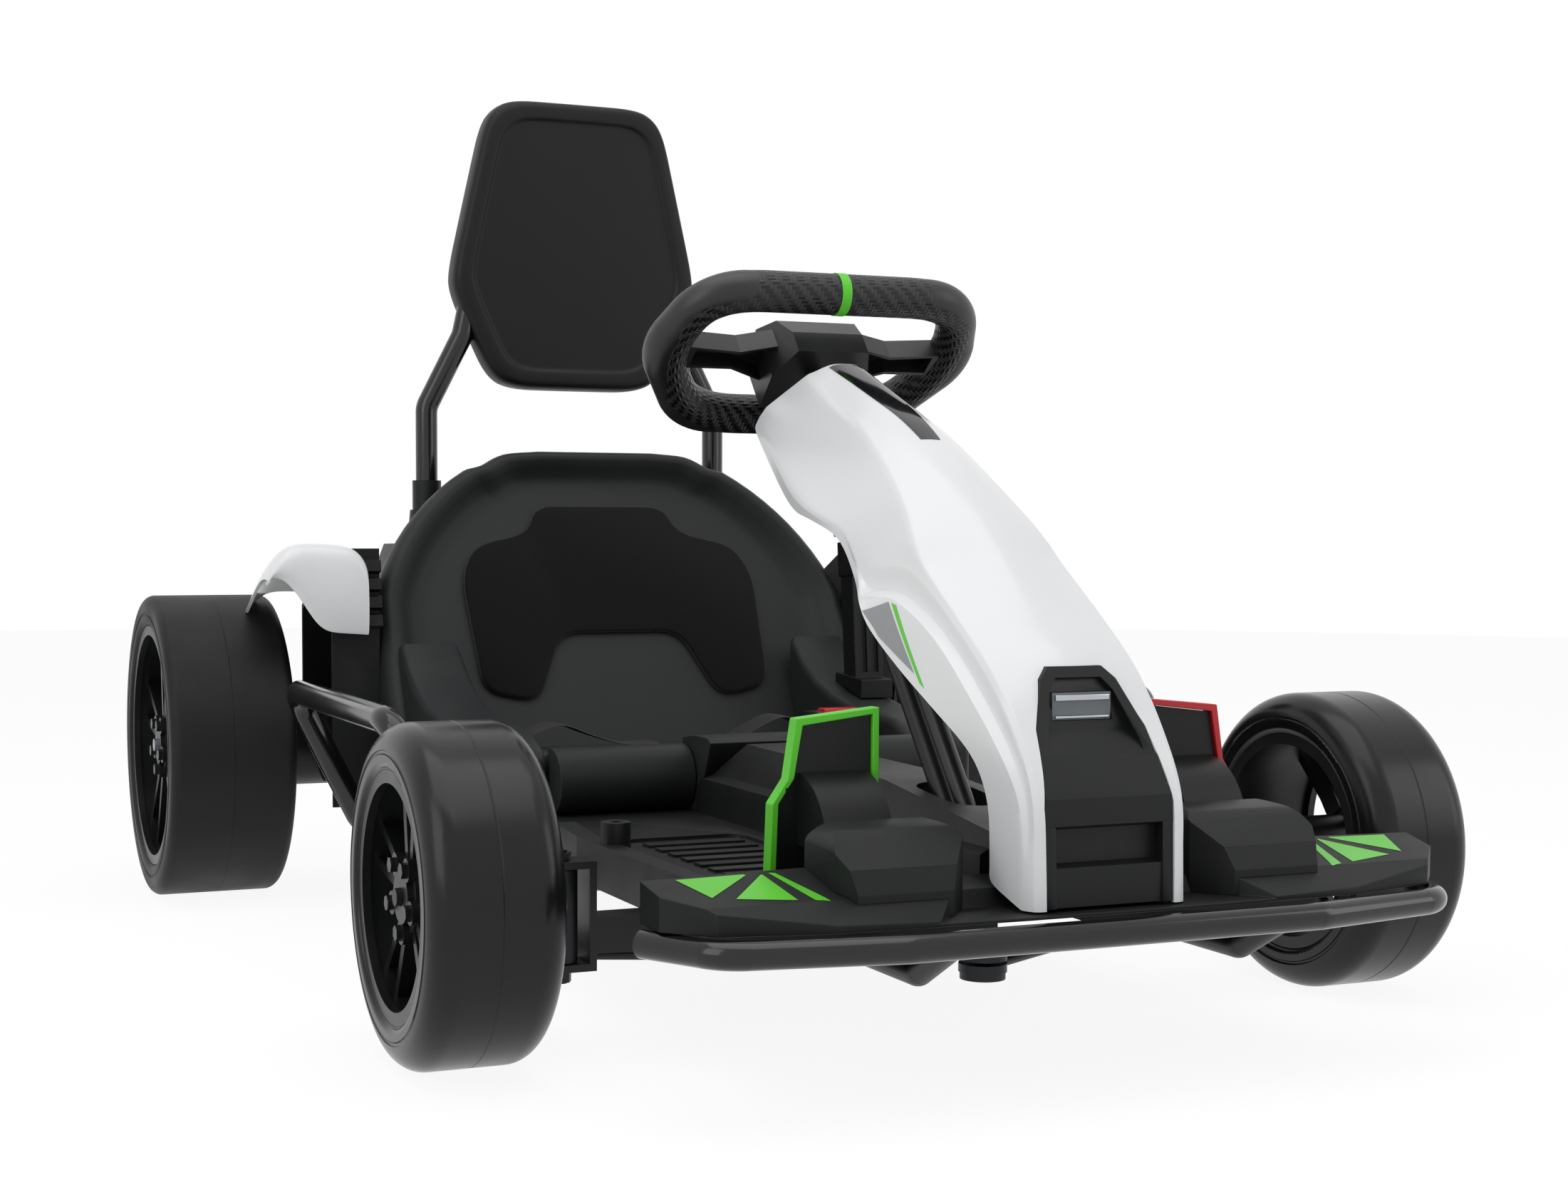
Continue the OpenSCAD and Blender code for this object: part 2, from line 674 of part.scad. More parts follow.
// Pedal plate seen from the driver, grown by g: X away from the middle, Y up
module pedal_outline(g) {
    polygon([[108 - g, 128], [108 - g, 236 + g], [158 + g, 230 + g], [164 + g, 196], [175 + g, 180],
        [177 + g, 128]]);
}
module pedal(s) {
    foot_z = floor_z + seat_gap;
    arc_r = 48;
    color("#202123") on_side(s) {
        translate([0, -443, 0]) rotate([90, 0, 0]) linear_extrude(5) pedal_outline(0);
        // Curved guard ahead of the plate, open at the back
        translate([112, -443, 152]) rotate([0, 90, 0]) difference() {
            cylinder(r = arc_r, h = 48);
            translate([0, 0, 3]) cylinder(r = arc_r - 3, h = 42);
            translate([-60, 0, -1]) cube([120, 60, 50]);
            translate([0, -60, -1]) cube([60, 120, 50]);
        }
        translate([112, -443 - arc_r + 1.3, foot_z]) cube([48, 3, 36]);
        translate([116, -452, foot_z]) cube([40, 9, 40]);
        // Hooked stop below the plate
        translate([160, -442.9, foot_z]) rotate([90, 0, 90]) linear_extrude(14) difference() {
            square([24, 26]);
            translate([24, 26]) circle(13);
        }
    }
}
module pedal_trim(s) {
    color(s < 0 ? "#5cc832" : "#d0202a") on_side(s)
        translate([0, -440, 0]) rotate([90, 0, 0]) difference() {
            linear_extrude(11) intersection() {
                pedal_outline(5);
                translate([90, 124]) square([100, 130]);
            }
            translate([0, 0, -1]) linear_extrude(13) pedal_outline(seat_gap);
            translate([80, 100, -1]) cube([90, 90, 13]);
        }
}

// Seat

// Outline of the seat's back in its own plane, grown by g: X across, Y up from the seat's floor
module back_outline(g) {
    intersection() {
        translate([0, 86]) circle(r = 256 + g, $fn = 96);
        translate([-245 - g, -20]) square([490 + 2 * g, 326 + g]);
    }
    polygon([[-128 - g, 290], [-128 - g, 306 + g], [-98 - g, 328 + g], [98 + g, 328 + g],
        [128 + g, 306 + g], [128 + g, 290]]);
}
back_foot = [0, 262, 140];
module seat_shell() {
    rim_h = 22;
    color("#38393b") difference() {
        union() {
            // Back, its edge leaning in toward the front
            in_back(-seat_wall) translate([0, 130]) linear_extrude(seat_wall + rim_h, scale = 0.945)
                translate([0, -130]) back_outline(0);
            // Sides that run forward to the seat's front corners, and the seat's floor
            for (s = [-1, 1]) on_side(s)
                translate([172, 0, 0]) rotate([90, 0, 90]) linear_extrude(58)
                polygon([[21, rail_top], [21, 166], [66, 184], [150, 188], [230, 206], [286, 250],
                    [286, rail_top]]);
            translate([-176, 0, 0]) rotate([90, 0, 90]) linear_extrude(352)
                polygon([[28.3, rail_top], [28.3, 170], [70, 166], [262, 149], [290, 149],
                    [290, rail_top]]);
        }
        // Dished front of the back
        in_back(0) translate([0, 120]) linear_extrude(60, scale = 1.16)
            translate([0, -120]) intersection() {
                translate([0, 14]) scale([0.84, 0.86]) back_outline(0);
                translate([-250, 12]) square([500, 400]);
            }
        // Open underside, and the back's hollow behind
        translate([-170, 0, 0]) rotate([90, 0, 90]) linear_extrude(340)
            polygon([[32, 0], [32, 164], [70, 161], [255, 144], [262, 0]]);
        for (s = [-1, 1]) on_side(s)
            translate([176, 0, 0]) rotate([90, 0, 90]) linear_extrude(50)
            polygon([[26, 0], [26, 161], [67, 179], [150, 183], [226, 198], [240, 0]]);
        translate([-300, -50, rail_top - 200]) cube([600, 700, 200]);
    }
}
// The plane of the seat's back: X across, Y up the back, Z toward the rider, starting at z
module in_back(z) {
    translate(back_foot) rotate([90 - seat_lean, 0, 0]) translate([0, 0, z]) children();
}
// Rolls at the seat's front, one on each side of the tunnel
module seat_base() {
    roll_r = 28;
    color("#303133") {
        for (s = [-1, 1]) on_side(s)
            translate([50.8, 20 + seat_gap, floor_z + seat_gap + roll_r])
            rotate([0, 90, 0]) difference() {
                cylinder(r = roll_r, h = 120.9);
                translate([-roll_r - 1, 7.4, -1]) cube([2 * roll_r + 2, roll_r, 130]);
            }
        // Middle section that leans on the tunnel's end
        difference() {
            translate([-49.7, 0, 0]) rotate([90, 0, 90]) linear_extrude(99.4)
                polygon([[-8, floor_z + seat_gap], [-36, 177], [-28, 181], [0, 181], [27.7, 177],
                    [27.7, floor_z + seat_gap]]);
            tunnel_form(seat_gap);
        }
    }
}
module seat_pad() {
    color("#202122") in_back(seat_gap) linear_extrude(pad_t) offset(r = 9, $fn = 24) offset(delta = -9)
        polygon([[-148, 66], [-94, 54], [-62, 126], [62, 126], [94, 54], [148, 66], [154, 186],
            [138, 220], [80, 234], [68, 264], [-68, 264], [-80, 234], [-138, 220], [-154, 186]]);
}
module lap_belt() {
    // Two straps that lie on the seat's floor, and the buckle: inner and outer x, front and back y,
    // thickness
    parts = [[-168, -40, 120, 160, 3], [36, 112, 96, 136, 3], [112.3, 166, 90, 142, 18]];
    color("#222223") for (p = parts)
        translate([p[0], 0, 0]) rotate([90, 0, 90]) linear_extrude(p[1] - p[0])
        polygon([[p[2], seat_top(p[2]) + seat_gap], [p[3], seat_top(p[3]) + seat_gap],
            [p[3], seat_top(p[3]) + seat_gap + p[4]], [p[2], seat_top(p[2]) + seat_gap + p[4]]]);
}
// Height of the seat's floor at y
function seat_top(y) = 166 - (y - 70) * 17 / 192;
module tail_lamp() {
    color("#a01c1c") in_back(-seat_wall - seat_gap - 9) translate([-50, 309, 0]) cube([100, 18, 9]);
}

// Rear body

// Line of a fender's outer face from its front lip over the top to the back
fender_line = [[186, 262], [190, 318], [198, 335], [214, 342], [292, 342], [332, 334], [410, 297]];
fender_t = 3;
module fender(s) {
    inner = [for (k = [len(fender_line) - 1:-1:0])
        fender_line[k] + fender_t * (k == 0 ? [1, 0] : k < 3 ? [0.9, -0.45] : k < 6 ? [0, -1] :
            [-0.4, -0.95])];
    color("#f0f0f0") on_side(s) translate([238, 0, 0]) difference() {
        rotate([90, 0, 90]) linear_extrude(92) polygon(concat(fender_line, inner));
        // The front lip is cut up toward the outside
        translate([0, 240, 0]) rotate([90, 0, 0]) linear_extrude(100)
            polygon([[46, 250], [100, 250], [100, 322]]);
    }
}
cover_top = 340;
// Closed form of the rear cover, shrunk by t
module cover_form(t) {
    hull() {
        translate([-248 + t, 300 + t, rail_top - 1]) cube([496 - 2 * t, 160 - 2 * t, 120]);
        translate([-206 + t, 380, cover_top - 60]) cube([412 - 2 * t, 60 - t, 60 - t]);
        translate([-190 + t, 380, cover_top - 41]) cube([380 - 2 * t, 96 - t, 41 - t]);
    }
}
// Pod on each side, under the fender: a shell closed toward the front, with stepped fins on it
module side_pod() {
    pod_x = 246.3;
    pod_w = 45;
    translate([pod_x, 0, 0]) difference() {
        rotate([90, 0, 90]) linear_extrude(pod_w)
            polygon([[300, rail_top], [300, 336.9], [328, 331.2], [404, 295.4], [430, 280],
                [430, rail_top]]);
        translate([4, 0, 0]) rotate([90, 0, 90]) linear_extrude(pod_w)
            polygon([[304, 0], [304, 330], [330, 324], [402, 290], [426, 276], [426, 0]]);
    }
    for (k = [0:3])
        translate([pod_x, 300.1, 262 + k * 17]) rotate([90, 0, 90]) linear_extrude(40 - 3 * k)
            polygon([[0, 0], [-14 + 2 * k, 3], [-12 + 2 * k, 13], [0, 14]]);
}
module rear_cover() {
    socket = [150, 474, 230];
    color("#2b2c2e") difference() {
        union() {
            difference() {
                cover_form(0);
                cover_form(5);
            }
            for (s = [-1, 1]) on_side(s) side_pod();
            translate(socket - [0, 26, 0]) rotate([-90, 0, 0]) cylinder(r = socket_r + 8, h = 26);
        }
        // Room for the seat in front, and open underneath
        in_back(-seat_wall - seat_gap) translate([-246, -200, 0]) cube([492, 900, 300]);
        translate([-300, 200, -100]) cube([600, 400, rail_top + 100]);
        // Arches over the axle and the gear cases, open below
        rod([-300, rear_axle_y, rear_r], [300, rear_axle_y, rear_r], 2 * 48);
        translate([-300, rear_axle_y - 48, 0]) cube([600, 96, rear_r]);
        for (s = [-1, 1]) on_side(s) {
            rod([230, rear_axle_y - 90, rear_r], [300, rear_axle_y - 90, rear_r], 66);
            translate([230, rear_axle_y - 123, 0]) cube([70, 76, rear_r]);
        }
        // Charging socket
        translate(socket - [0, 14, 0]) rotate([-90, 0, 0]) cylinder(r = socket_r, h = 20);
    }
}
module battery() {
    color("#3a3f45") translate([-135, 320, rail_top]) cube([270, 90, 90]);
}
module gearbox(s) {
    color("#1c1d1f") on_side(s) difference() {
        union() {
            translate([250, rear_axle_y, rear_r]) rotate([0, 90, 0]) cylinder(r = 44, h = 52);
            translate([236, rear_axle_y - 90, rear_r]) rotate([0, 90, 0]) cylinder(r = 32, h = 50);
            translate([254, rear_axle_y - 90, rear_r - 30]) cube([24, 90, 60]);
        }
        translate([200, rear_axle_y, rear_r]) rotate([0, 90, 0])
            cylinder(d = axle_d + 2 * axle_gap, h = 200);
    }
}
module rear_axle() {
    reach = rear_track + rear_w / 2 - 6;
    color("#54575a") rod([-reach, rear_axle_y, rear_r], [reach, rear_axle_y, rear_r], axle_d);
}

// Backrest

post_x = 157;
post_y = 456;
// The post's path seen from the front, its top raised by g
function post_path(g) = [[post_x, cover_top + 6], [post_x, 478], [119, 552],
    [100 - 0.216 * g, 640 + g]];
module backrest_posts() {
    color("#131314") for (s = [-1, 1])
        bent_tube([for (p = post_path(0)) [s * p.x, post_y, p.y]], post_d, 24);
}
module post_sockets() {
    color("#1a1a1b") for (s = [-1, 1])
        translate([s * post_x, post_y, 0]) difference() {
            union() {
                translate([0, 0, cover_top + seat_gap]) cylinder(d1 = 40, d2 = 34, h = 374 - cover_top);
                translate([0, 0, 374]) cylinder(d = 29, h = 30);
            }
            translate([0, 0, cover_top + 5]) cylinder(d = post_d + 0.6, h = 200);
        }
}
module backrest() {
    front = post_y - 16;
    color("#1e1e20") difference() {
        translate([0, front + backrest_t, 497]) rotate([90, 0, 0]) linear_extrude(backrest_t)
            polygon([[-66, 0], [66, 0], [92, 14], [132, 98], [132, 122], [98, 268], [88, 284], [70, 296],
                [-70, 296], [-88, 284], [-98, 268], [-132, 122], [-132, 98], [-92, 14]]);
        // Channels for the posts, open at the back
        for (s = [-1, 1]) {
            path = post_path(1);
            bent_tube([for (p = path) [s * p.x, post_y, p.y]], post_d + 2 * seat_gap, 24);
            for (k = [0:len(path) - 2])
                channel([s * path[k].x, path[k].y], [s * path[k + 1].x, path[k + 1].y]);
        }
    }
}
// A slot behind the post between two points of its path, seen from the front
module channel(a, b) {
    way = unit(b - a);
    side = [way.y, -way.x] * (post_d / 2 - 0.1);
    translate([0, post_y + 60, 0]) rotate([90, 0, 0]) linear_extrude(60)
        polygon([a - side, a + side, b + way * 11 + side, b + way * 11 - side]);
}
module hand_lever() {
    color("#18181a") {
        // Foot on the seat's side
        translate([194, 0, 0]) rotate([90, 0, 90]) linear_extrude(34)
            polygon([[170, 192.5 + seat_gap], [228, 205.6 + seat_gap], [228, 215], [170, 211]]);
        // Grooved lever arm and its grip
        translate([196, 186, 207]) rotate([-5, 0, 0]) difference() {
            cube([30, 26, 110]);
            for (x = [5, 17])
                translate([x, -1, 10]) cube([8, 5, 120]);
        }
        translate([194, 189, 312]) rotate([-5, 0, 0]) cube([34, 34, 34]);
    }
}

frame();
front_beam();
bumper();
side_bar(-1);  // side_bar_right
side_bar(1);  // side_bar_left
floor_pan();
front_deck();
foot_blocks();
fairing();
nose_insert();
lamp();
dash_window();
column_support();
steering_wheel();
grip_band();
tie_rod(-1);  // tie_rod_right
tie_rod(1);  // tie_rod_left
knuckle(-1);  // knuckle_right
knuckle(1);  // knuckle_left
pedal(-1);  // pedal_right
pedal_trim(-1);  // pedal_trim_right
pedal(1);  // pedal_left
pedal_trim(1);  // pedal_trim_left
seat_shell();
seat_base();
seat_pad();
lap_belt();
tail_lamp();
fender(-1);  // fender_right
fender(1);  // fender_left
rear_cover();
battery();
gearbox(-1);  // gearbox_right
gearbox(1);  // gearbox_left
rear_axle();
backrest_posts();
post_sockets();
backrest();
hand_lever();
front_tyre(-1);  // tyre_front_right
front_tyre(1);  // tyre_front_left
rear_tyre(-1);  // tyre_rear_right
rear_tyre(1);  // tyre_rear_left
front_rim(-1);  // rim_front_right
front_rim(1);  // rim_front_left
rear_rim(-1);  // rim_rear_right
rear_rim(1);  // rim_rear_left
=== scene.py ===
# %% [markdown]
# # A child's drift kart, dressed for its portrait
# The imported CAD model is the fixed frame: every tube, wheel and panel already has its size and
# place. This lesson gives each of them its real finish, rounds the edges that a mould or a bend
# leaves round, and models the skins that a plain solid can't have. Everything is in metres. The
# kart faces -Y, its right side is -X, and the floor is Z = 0.

# %% Load the frame
import json
import math

import bpy
from mathutils import Matrix, Vector

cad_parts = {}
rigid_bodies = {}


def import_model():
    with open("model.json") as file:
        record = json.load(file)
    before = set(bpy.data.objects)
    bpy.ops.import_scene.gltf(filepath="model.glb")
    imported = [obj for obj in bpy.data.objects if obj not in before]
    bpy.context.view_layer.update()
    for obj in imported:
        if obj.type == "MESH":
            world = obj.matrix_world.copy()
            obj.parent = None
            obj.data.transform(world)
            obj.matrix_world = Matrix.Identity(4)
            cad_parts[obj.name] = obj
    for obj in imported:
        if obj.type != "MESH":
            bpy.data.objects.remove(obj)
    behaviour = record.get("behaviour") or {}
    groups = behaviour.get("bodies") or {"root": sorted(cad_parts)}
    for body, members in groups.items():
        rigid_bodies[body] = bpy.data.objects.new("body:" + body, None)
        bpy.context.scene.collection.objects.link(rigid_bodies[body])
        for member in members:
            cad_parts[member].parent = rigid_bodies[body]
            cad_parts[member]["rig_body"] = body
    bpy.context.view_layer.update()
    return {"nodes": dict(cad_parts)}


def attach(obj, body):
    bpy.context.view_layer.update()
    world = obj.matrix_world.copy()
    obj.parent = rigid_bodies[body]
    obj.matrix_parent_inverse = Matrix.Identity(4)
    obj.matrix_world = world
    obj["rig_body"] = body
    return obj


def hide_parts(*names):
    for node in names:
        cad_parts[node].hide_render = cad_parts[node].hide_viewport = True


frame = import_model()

NODES = frame["nodes"]
MM = 0.001

# %% [markdown]
# ## Camera
# The photograph was measured first: the points where it shows left and right twins give the
# camera's place and its three directions. Blender wants the same thing as a matrix whose columns
# are right, up and backward, plus the focal length on a 36 mm sensor. The picture was cropped a
# little off its centre, so a small lens shift puts the kart back where the photograph has it.

# %% The camera at the photograph's angle
PHOTO_W, PHOTO_H = 2201, 1680
FOCAL_PX = 3135
CENTRE_PX = (1025, 919)
CAMERA_AT = Vector((-0.7686, -1.7556, 0.3602))
LOOKING = Vector((0.3931, 0.9177, -0.0582)).normalized()
RIGHTWARD = Vector((0.9193, -0.3936, 0.003))
RIGHTWARD = (RIGHTWARD - LOOKING * RIGHTWARD.dot(LOOKING)).normalized()
UPWARD = RIGHTWARD.cross(LOOKING)

lens = bpy.data.cameras.new("photo_camera")
lens.sensor_width = 36
lens.lens = FOCAL_PX * lens.sensor_width / PHOTO_W
lens.shift_x = (PHOTO_W / 2 - CENTRE_PX[0]) / PHOTO_W
lens.shift_y = (CENTRE_PX[1] - PHOTO_H / 2) / PHOTO_W
lens.clip_start = 0.05
camera = bpy.data.objects.new("photo_camera", lens)
bpy.context.scene.collection.objects.link(camera)
turned = Matrix((RIGHTWARD, UPWARD, -LOOKING)).transposed().to_4x4()
camera.matrix_world = Matrix.Translation(CAMERA_AT) @ turned
bpy.context.scene.camera = camera
print("lens", round(lens.lens, 2), "mm, shift", round(lens.shift_x, 4), round(lens.shift_y, 4))

# %% [markdown]
# ## Finishes
# A finish is a small graph of nodes. Each one starts from what the real material is, takes its
# colour from a hex value, and then gets what keeps it from looking like a flat swatch: a slow
# drift of the colour, a roughness that wanders a little, and a bump at the real size of its
# grain. Object coordinates are in metres, so a grain of 0.8 mm is a noise of 1 / 0.0008.

# %% Colour and node helpers
def linear(hex_text):
    """An sRGB hex colour as the linear values that a shader wants."""
    parts = [int(hex_text[i:i + 2], 16) / 255 for i in (1, 3, 5)]
    return [c / 12.92 if c <= 0.04045 else ((c + 0.055) / 1.055) ** 2.4 for c in parts] + [1]


def add_node(material, kind, inputs=None, **settings):
    """One node with its settings, its input values, and links from any sockets given as inputs."""
    made = material.node_tree.nodes.new(kind)
    for name, value in settings.items():
        setattr(made, name, value)
    for name, value in (inputs or {}).items():
        if isinstance(value, bpy.types.NodeSocket):
            material.node_tree.links.new(value, made.inputs[name])
        else:
            made.inputs[name].default_value = value
    return made


def new_material(name):
    """An empty material, and its output node."""
    material = bpy.data.materials.new(name)
    material.use_nodes = True
    material.node_tree.nodes.clear()
    return material, add_node(material, "ShaderNodeOutputMaterial")


def finish(name, dark, light, rough, grain_mm, depth_mm, drift_mm=60, streak=(1, 1, 1), shine=0.5,
           **shader):
    """A material whose colour drifts from dark to light over drift_mm, whose roughness wanders
    between the two values of rough, and whose surface has a grain of grain_mm, depth_mm deep. A
    low shine keeps a grained black from mirroring the white room."""
    material, output = new_material(name)
    place = add_node(material, "ShaderNodeTexCoord").outputs["Object"]
    place = add_node(material, "ShaderNodeMapping", {"Vector": place, "Scale": streak}).outputs[0]
    drift = add_node(material, "ShaderNodeTexNoise",
                     {"Vector": place, "Scale": 1 / (drift_mm * MM), "Detail": 3.0})
    mix = add_node(material, "ShaderNodeMix",
                   {"Factor": drift.outputs["Fac"], "A": linear(dark), "B": linear(light)},
                   data_type="RGBA")
    # The colour sockets of a Mix node are the ones of its colour type
    mix.inputs[6].default_value = linear(dark)
    mix.inputs[7].default_value = linear(light)
    grain = add_node(material, "ShaderNodeTexNoise",
                     {"Vector": place, "Scale": 1 / (grain_mm * MM), "Detail": 2.0})
    wander = add_node(material, "ShaderNodeMapRange",
                      {"Value": drift.outputs["Fac"], "To Min": rough[0], "To Max": rough[1],
                       "From Min": 0.3, "From Max": 0.7})
    bump = add_node(material, "ShaderNodeBump",
                    {"Height": grain.outputs["Fac"], "Distance": depth_mm * MM, "Strength": 1.0})
    surface = add_node(material, "ShaderNodeBsdfPrincipled",
                       {"Base Color": mix.outputs[2], "Roughness": wander.outputs[0],
                        "Normal": bump.outputs[0], "Specular IOR Level": shine, **shader})
    material.node_tree.links.new(surface.outputs[0], output.inputs["Surface"])
    return material


# %% The kart's finishes
tube_paint = finish("gloss_powder_coat_black", "#070708", "#0b0b0c", (0.14, 0.2), 1.6, 0.02, shine=0.35,
                    **{"Coat Weight": 0.3, "Coat Roughness": 0.06})
frame_paint = finish("satin_powder_coat_black", "#0d0d0e", "#131314", (0.34, 0.44), 0.9, 0.03, shine=0.35)
floor_pp = finish("moulded_polypropylene_black", "#151617", "#1b1c1d", (0.42, 0.54), 0.7, 0.06, shine=0.22)
trim_pp = finish("moulded_polypropylene_fine", "#101112", "#161718", (0.36, 0.46), 0.5, 0.03, shine=0.25)
seat_pp = finish("moulded_polypropylene_charcoal", "#202122", "#272829", (0.44, 0.54), 0.7, 0.05, shine=0.22)
white_abs = finish("glossy_moulded_abs_white", "#f0f1f2", "#f5f5f5", (0.16, 0.24), 2.4, 0.008)
smoked = finish("smoked_acrylic", "#101113", "#17181a", (0.06, 0.1), 3, 0.004)
lens_clear = finish("clear_polycarbonate_lens", "#5d6467", "#7d8487", (0.05, 0.1), 3, 0.01)
green_pp = finish("moulded_polypropylene_green", "#56cc20", "#62d82c", (0.38, 0.48), 0.8, 0.03)
red_pp = finish("moulded_polypropylene_red", "#c4161d", "#d42028", (0.32, 0.42), 0.8, 0.03)
felt = finish("needled_felt_black", "#070708", "#0f0f10", (0.85, 0.95), 0.5, 0.25,
              drift_mm=1.2, shine=0.1, **{"Sheen Weight": 0.25, "Sheen Roughness": 0.5})
webbing = finish("polyester_webbing_black", "#0e0e0f", "#151516", (0.6, 0.72), 0.8, 0.15)
red_lens = finish("moulded_red_reflector", "#8c1216", "#a8181d", (0.12, 0.2), 2.5, 0.05)
case_abs = finish("battery_case_abs_grey", "#3a3f45", "#434850", (0.45, 0.55), 0.8, 0.05)
skin_foam = finish("skinned_foam_black", "#0e0e0f", "#131314", (0.4, 0.5), 0.9, 0.05, shine=0.24)
front_eva = finish("moulded_eva_rubber_gloss", "#0c0c0d", "#111112", (0.2, 0.3), 1.4, 0.02, shine=0.3)
rear_eva = finish("moulded_eva_rubber_matt", "#111112", "#171718", (0.46, 0.6), 0.8, 0.05, shine=0.24)
rim_nylon = finish("moulded_nylon_black", "#131415", "#191a1b", (0.3, 0.4), 0.7, 0.03, shine=0.3)
zinc = finish("zinc_plated_steel", "#8f949a", "#a7abb0", (0.28, 0.4), 0.6, 0.02,
              **{"Metallic": 1.0})
dark_iron = finish("blackened_steel", "#242527", "#303134", (0.35, 0.5), 0.8, 0.04,
                   **{"Metallic": 0.7})
wheel_skin = finish("woven_look_vinyl", "#161617", "#1d1d1f", (0.34, 0.44), 0.8, 0.05)
film_grey = finish("printed_vinyl_film_grey", "#8d8e91", "#a3a4a7", (0.3, 0.4), 2, 0.002)
film_green = finish("printed_vinyl_film_green", "#5ccb2a", "#68d636", (0.26, 0.34), 2, 0.002)


def woven(name, dark, light, threads_along, threads_across):
    """An embossed twill: threads that go over two and under two, stepped by one in each row."""
    material, output = new_material(name)
    place = add_node(material, "ShaderNodeUVMap").outputs[0]
    split = add_node(material, "ShaderNodeSeparateXYZ", {"Vector": place}).outputs
    cells, waves = [], []
    for part, count in ((split["X"], threads_along), (split["Y"], threads_across)):
        scaled = add_node(material, "ShaderNodeMath", {0: part, 1: count}, operation="MULTIPLY")
        cells.append(add_node(material, "ShaderNodeMath", {0: scaled.outputs[0]}, operation="FLOOR"))
        turned = add_node(material, "ShaderNodeMath", {0: scaled.outputs[0], 1: math.pi},
                          operation="MULTIPLY")
        wave = add_node(material, "ShaderNodeMath", {0: turned.outputs[0]}, operation="SINE")
        waves.append(add_node(material, "ShaderNodeMath", {0: wave.outputs[0]},
                              operation="ABSOLUTE"))
    steps = add_node(material, "ShaderNodeMath",
                     {0: cells[0].outputs[0], 1: cells[1].outputs[0]}, operation="ADD")
    steps = add_node(material, "ShaderNodeMath", {0: steps.outputs[0], 1: 4.0},
                     operation="FLOORED_MODULO")
    over = add_node(material, "ShaderNodeMath", {0: steps.outputs[0], 1: 1.5},
                    operation="LESS_THAN")
    height = add_node(material, "ShaderNodeMix", {"Factor": over.outputs[0]})
    material.node_tree.links.new(waves[0].outputs[0], height.inputs[2])
    material.node_tree.links.new(waves[1].outputs[0], height.inputs[3])
    tint = add_node(material, "ShaderNodeMix", {"Factor": over.outputs[0]}, data_type="RGBA")
    tint.inputs[6].default_value = linear(dark)
    tint.inputs[7].default_value = linear(light)
    rough = add_node(material, "ShaderNodeMapRange",
                     {"Value": over.outputs[0], "To Min": 0.3, "To Max": 0.46})
    bump = add_node(material, "ShaderNodeBump",
                    {"Height": height.outputs[0], "Distance": 0.35 * MM, "Strength": 1.0})
    surface = add_node(material, "ShaderNodeBsdfPrincipled",
                       {"Base Color": tint.outputs[2], "Roughness": rough.outputs[0],
                        "Normal": bump.outputs[0], "Specular IOR Level": 0.4})
    material.node_tree.links.new(surface.outputs[0], output.inputs["Surface"])
    return material


# The rim is about 102 mm about and 760 mm round, so 3.5 mm threads are 29 about and 216 round
weave_vinyl = woven("embossed_vinyl_twill", "#060607", "#28292b", 29, 216)
print(len(bpy.data.materials), "finishes")

# %% Which node has which finish
FINISH_OF = {
    tube_paint: ["bumper", "side_bar_right", "side_bar_left", "backrest_posts"],
    frame_paint: ["frame", "front_beam", "column_support"],
    floor_pp: ["floor_pan", "front_deck", "foot_blocks", "rear_cover"],
    trim_pp: ["nose_insert", "pedal_right", "pedal_left", "post_sockets", "hand_lever",
              "gearbox_right", "gearbox_left"],
    seat_pp: ["seat_shell", "seat_base"],
    white_abs: ["fairing", "fender_right", "fender_left"],
    smoked: ["dash_window"],
    lens_clear: ["lamp"],
    green_pp: ["pedal_trim_right", "grip_band"],
    red_pp: ["pedal_trim_left"],
    felt: ["seat_pad"],
    webbing: ["lap_belt"],
    red_lens: ["tail_lamp"],
    case_abs: ["battery"],
    skin_foam: ["backrest"],
    front_eva: ["tyre_front_right", "tyre_front_left"],
    rear_eva: ["tyre_rear_right", "tyre_rear_left"],
    rim_nylon: ["rim_front_right", "rim_front_left", "rim_rear_right", "rim_rear_left"],
    zinc: ["rear_axle"],
    dark_iron: ["knuckle_right", "knuckle_left", "tie_rod_right", "tie_rod_left"],
    wheel_skin: ["steering_wheel"],
}
dressed = set()
for material, names in FINISH_OF.items():
    for name in names:
        NODES[name].data.materials.clear()
        NODES[name].data.materials.append(material)
        dressed.add(name)
print("no finish yet:", sorted(set(NODES) - dressed))

# %% [markdown]
# ## Rounded edges
# A moulded part has no knife edges. Where a CAD solid has the right shape, a copy of it is welded,
# its flat triangles are joined into faces, and a Bevel modifier rounds what is left sharp. That
# one thin highlight along each edge is what tells the eye that a thing is real.

# %% Helpers for copies and modifiers
def start_afresh():
    """Object mode with nothing selected, as an operator acts on all that is selected."""
    if bpy.context.object and bpy.context.object.mode != "OBJECT":
        bpy.ops.object.mode_set(mode="OBJECT")
    bpy.ops.object.select_all(action="DESELECT")


def pick(piece):
    """Only this piece selected and active."""
    start_afresh()
    piece.select_set(True)
    bpy.context.view_layer.objects.active = piece


def modify(piece, kind, **settings):
    """Adds a modifier with its settings and applies it."""
    pick(piece)
    modifier = piece.modifiers.new(kind.lower(), kind)
    for name, value in settings.items():
        setattr(modifier, name, value)
    bpy.ops.object.modifier_apply(modifier=modifier.name)


def soften(piece, angle=35):
    """Smooth shading that stops at the sharp edges."""
    pick(piece)
    bpy.ops.object.shade_smooth_by_angle(angle=math.radians(angle))


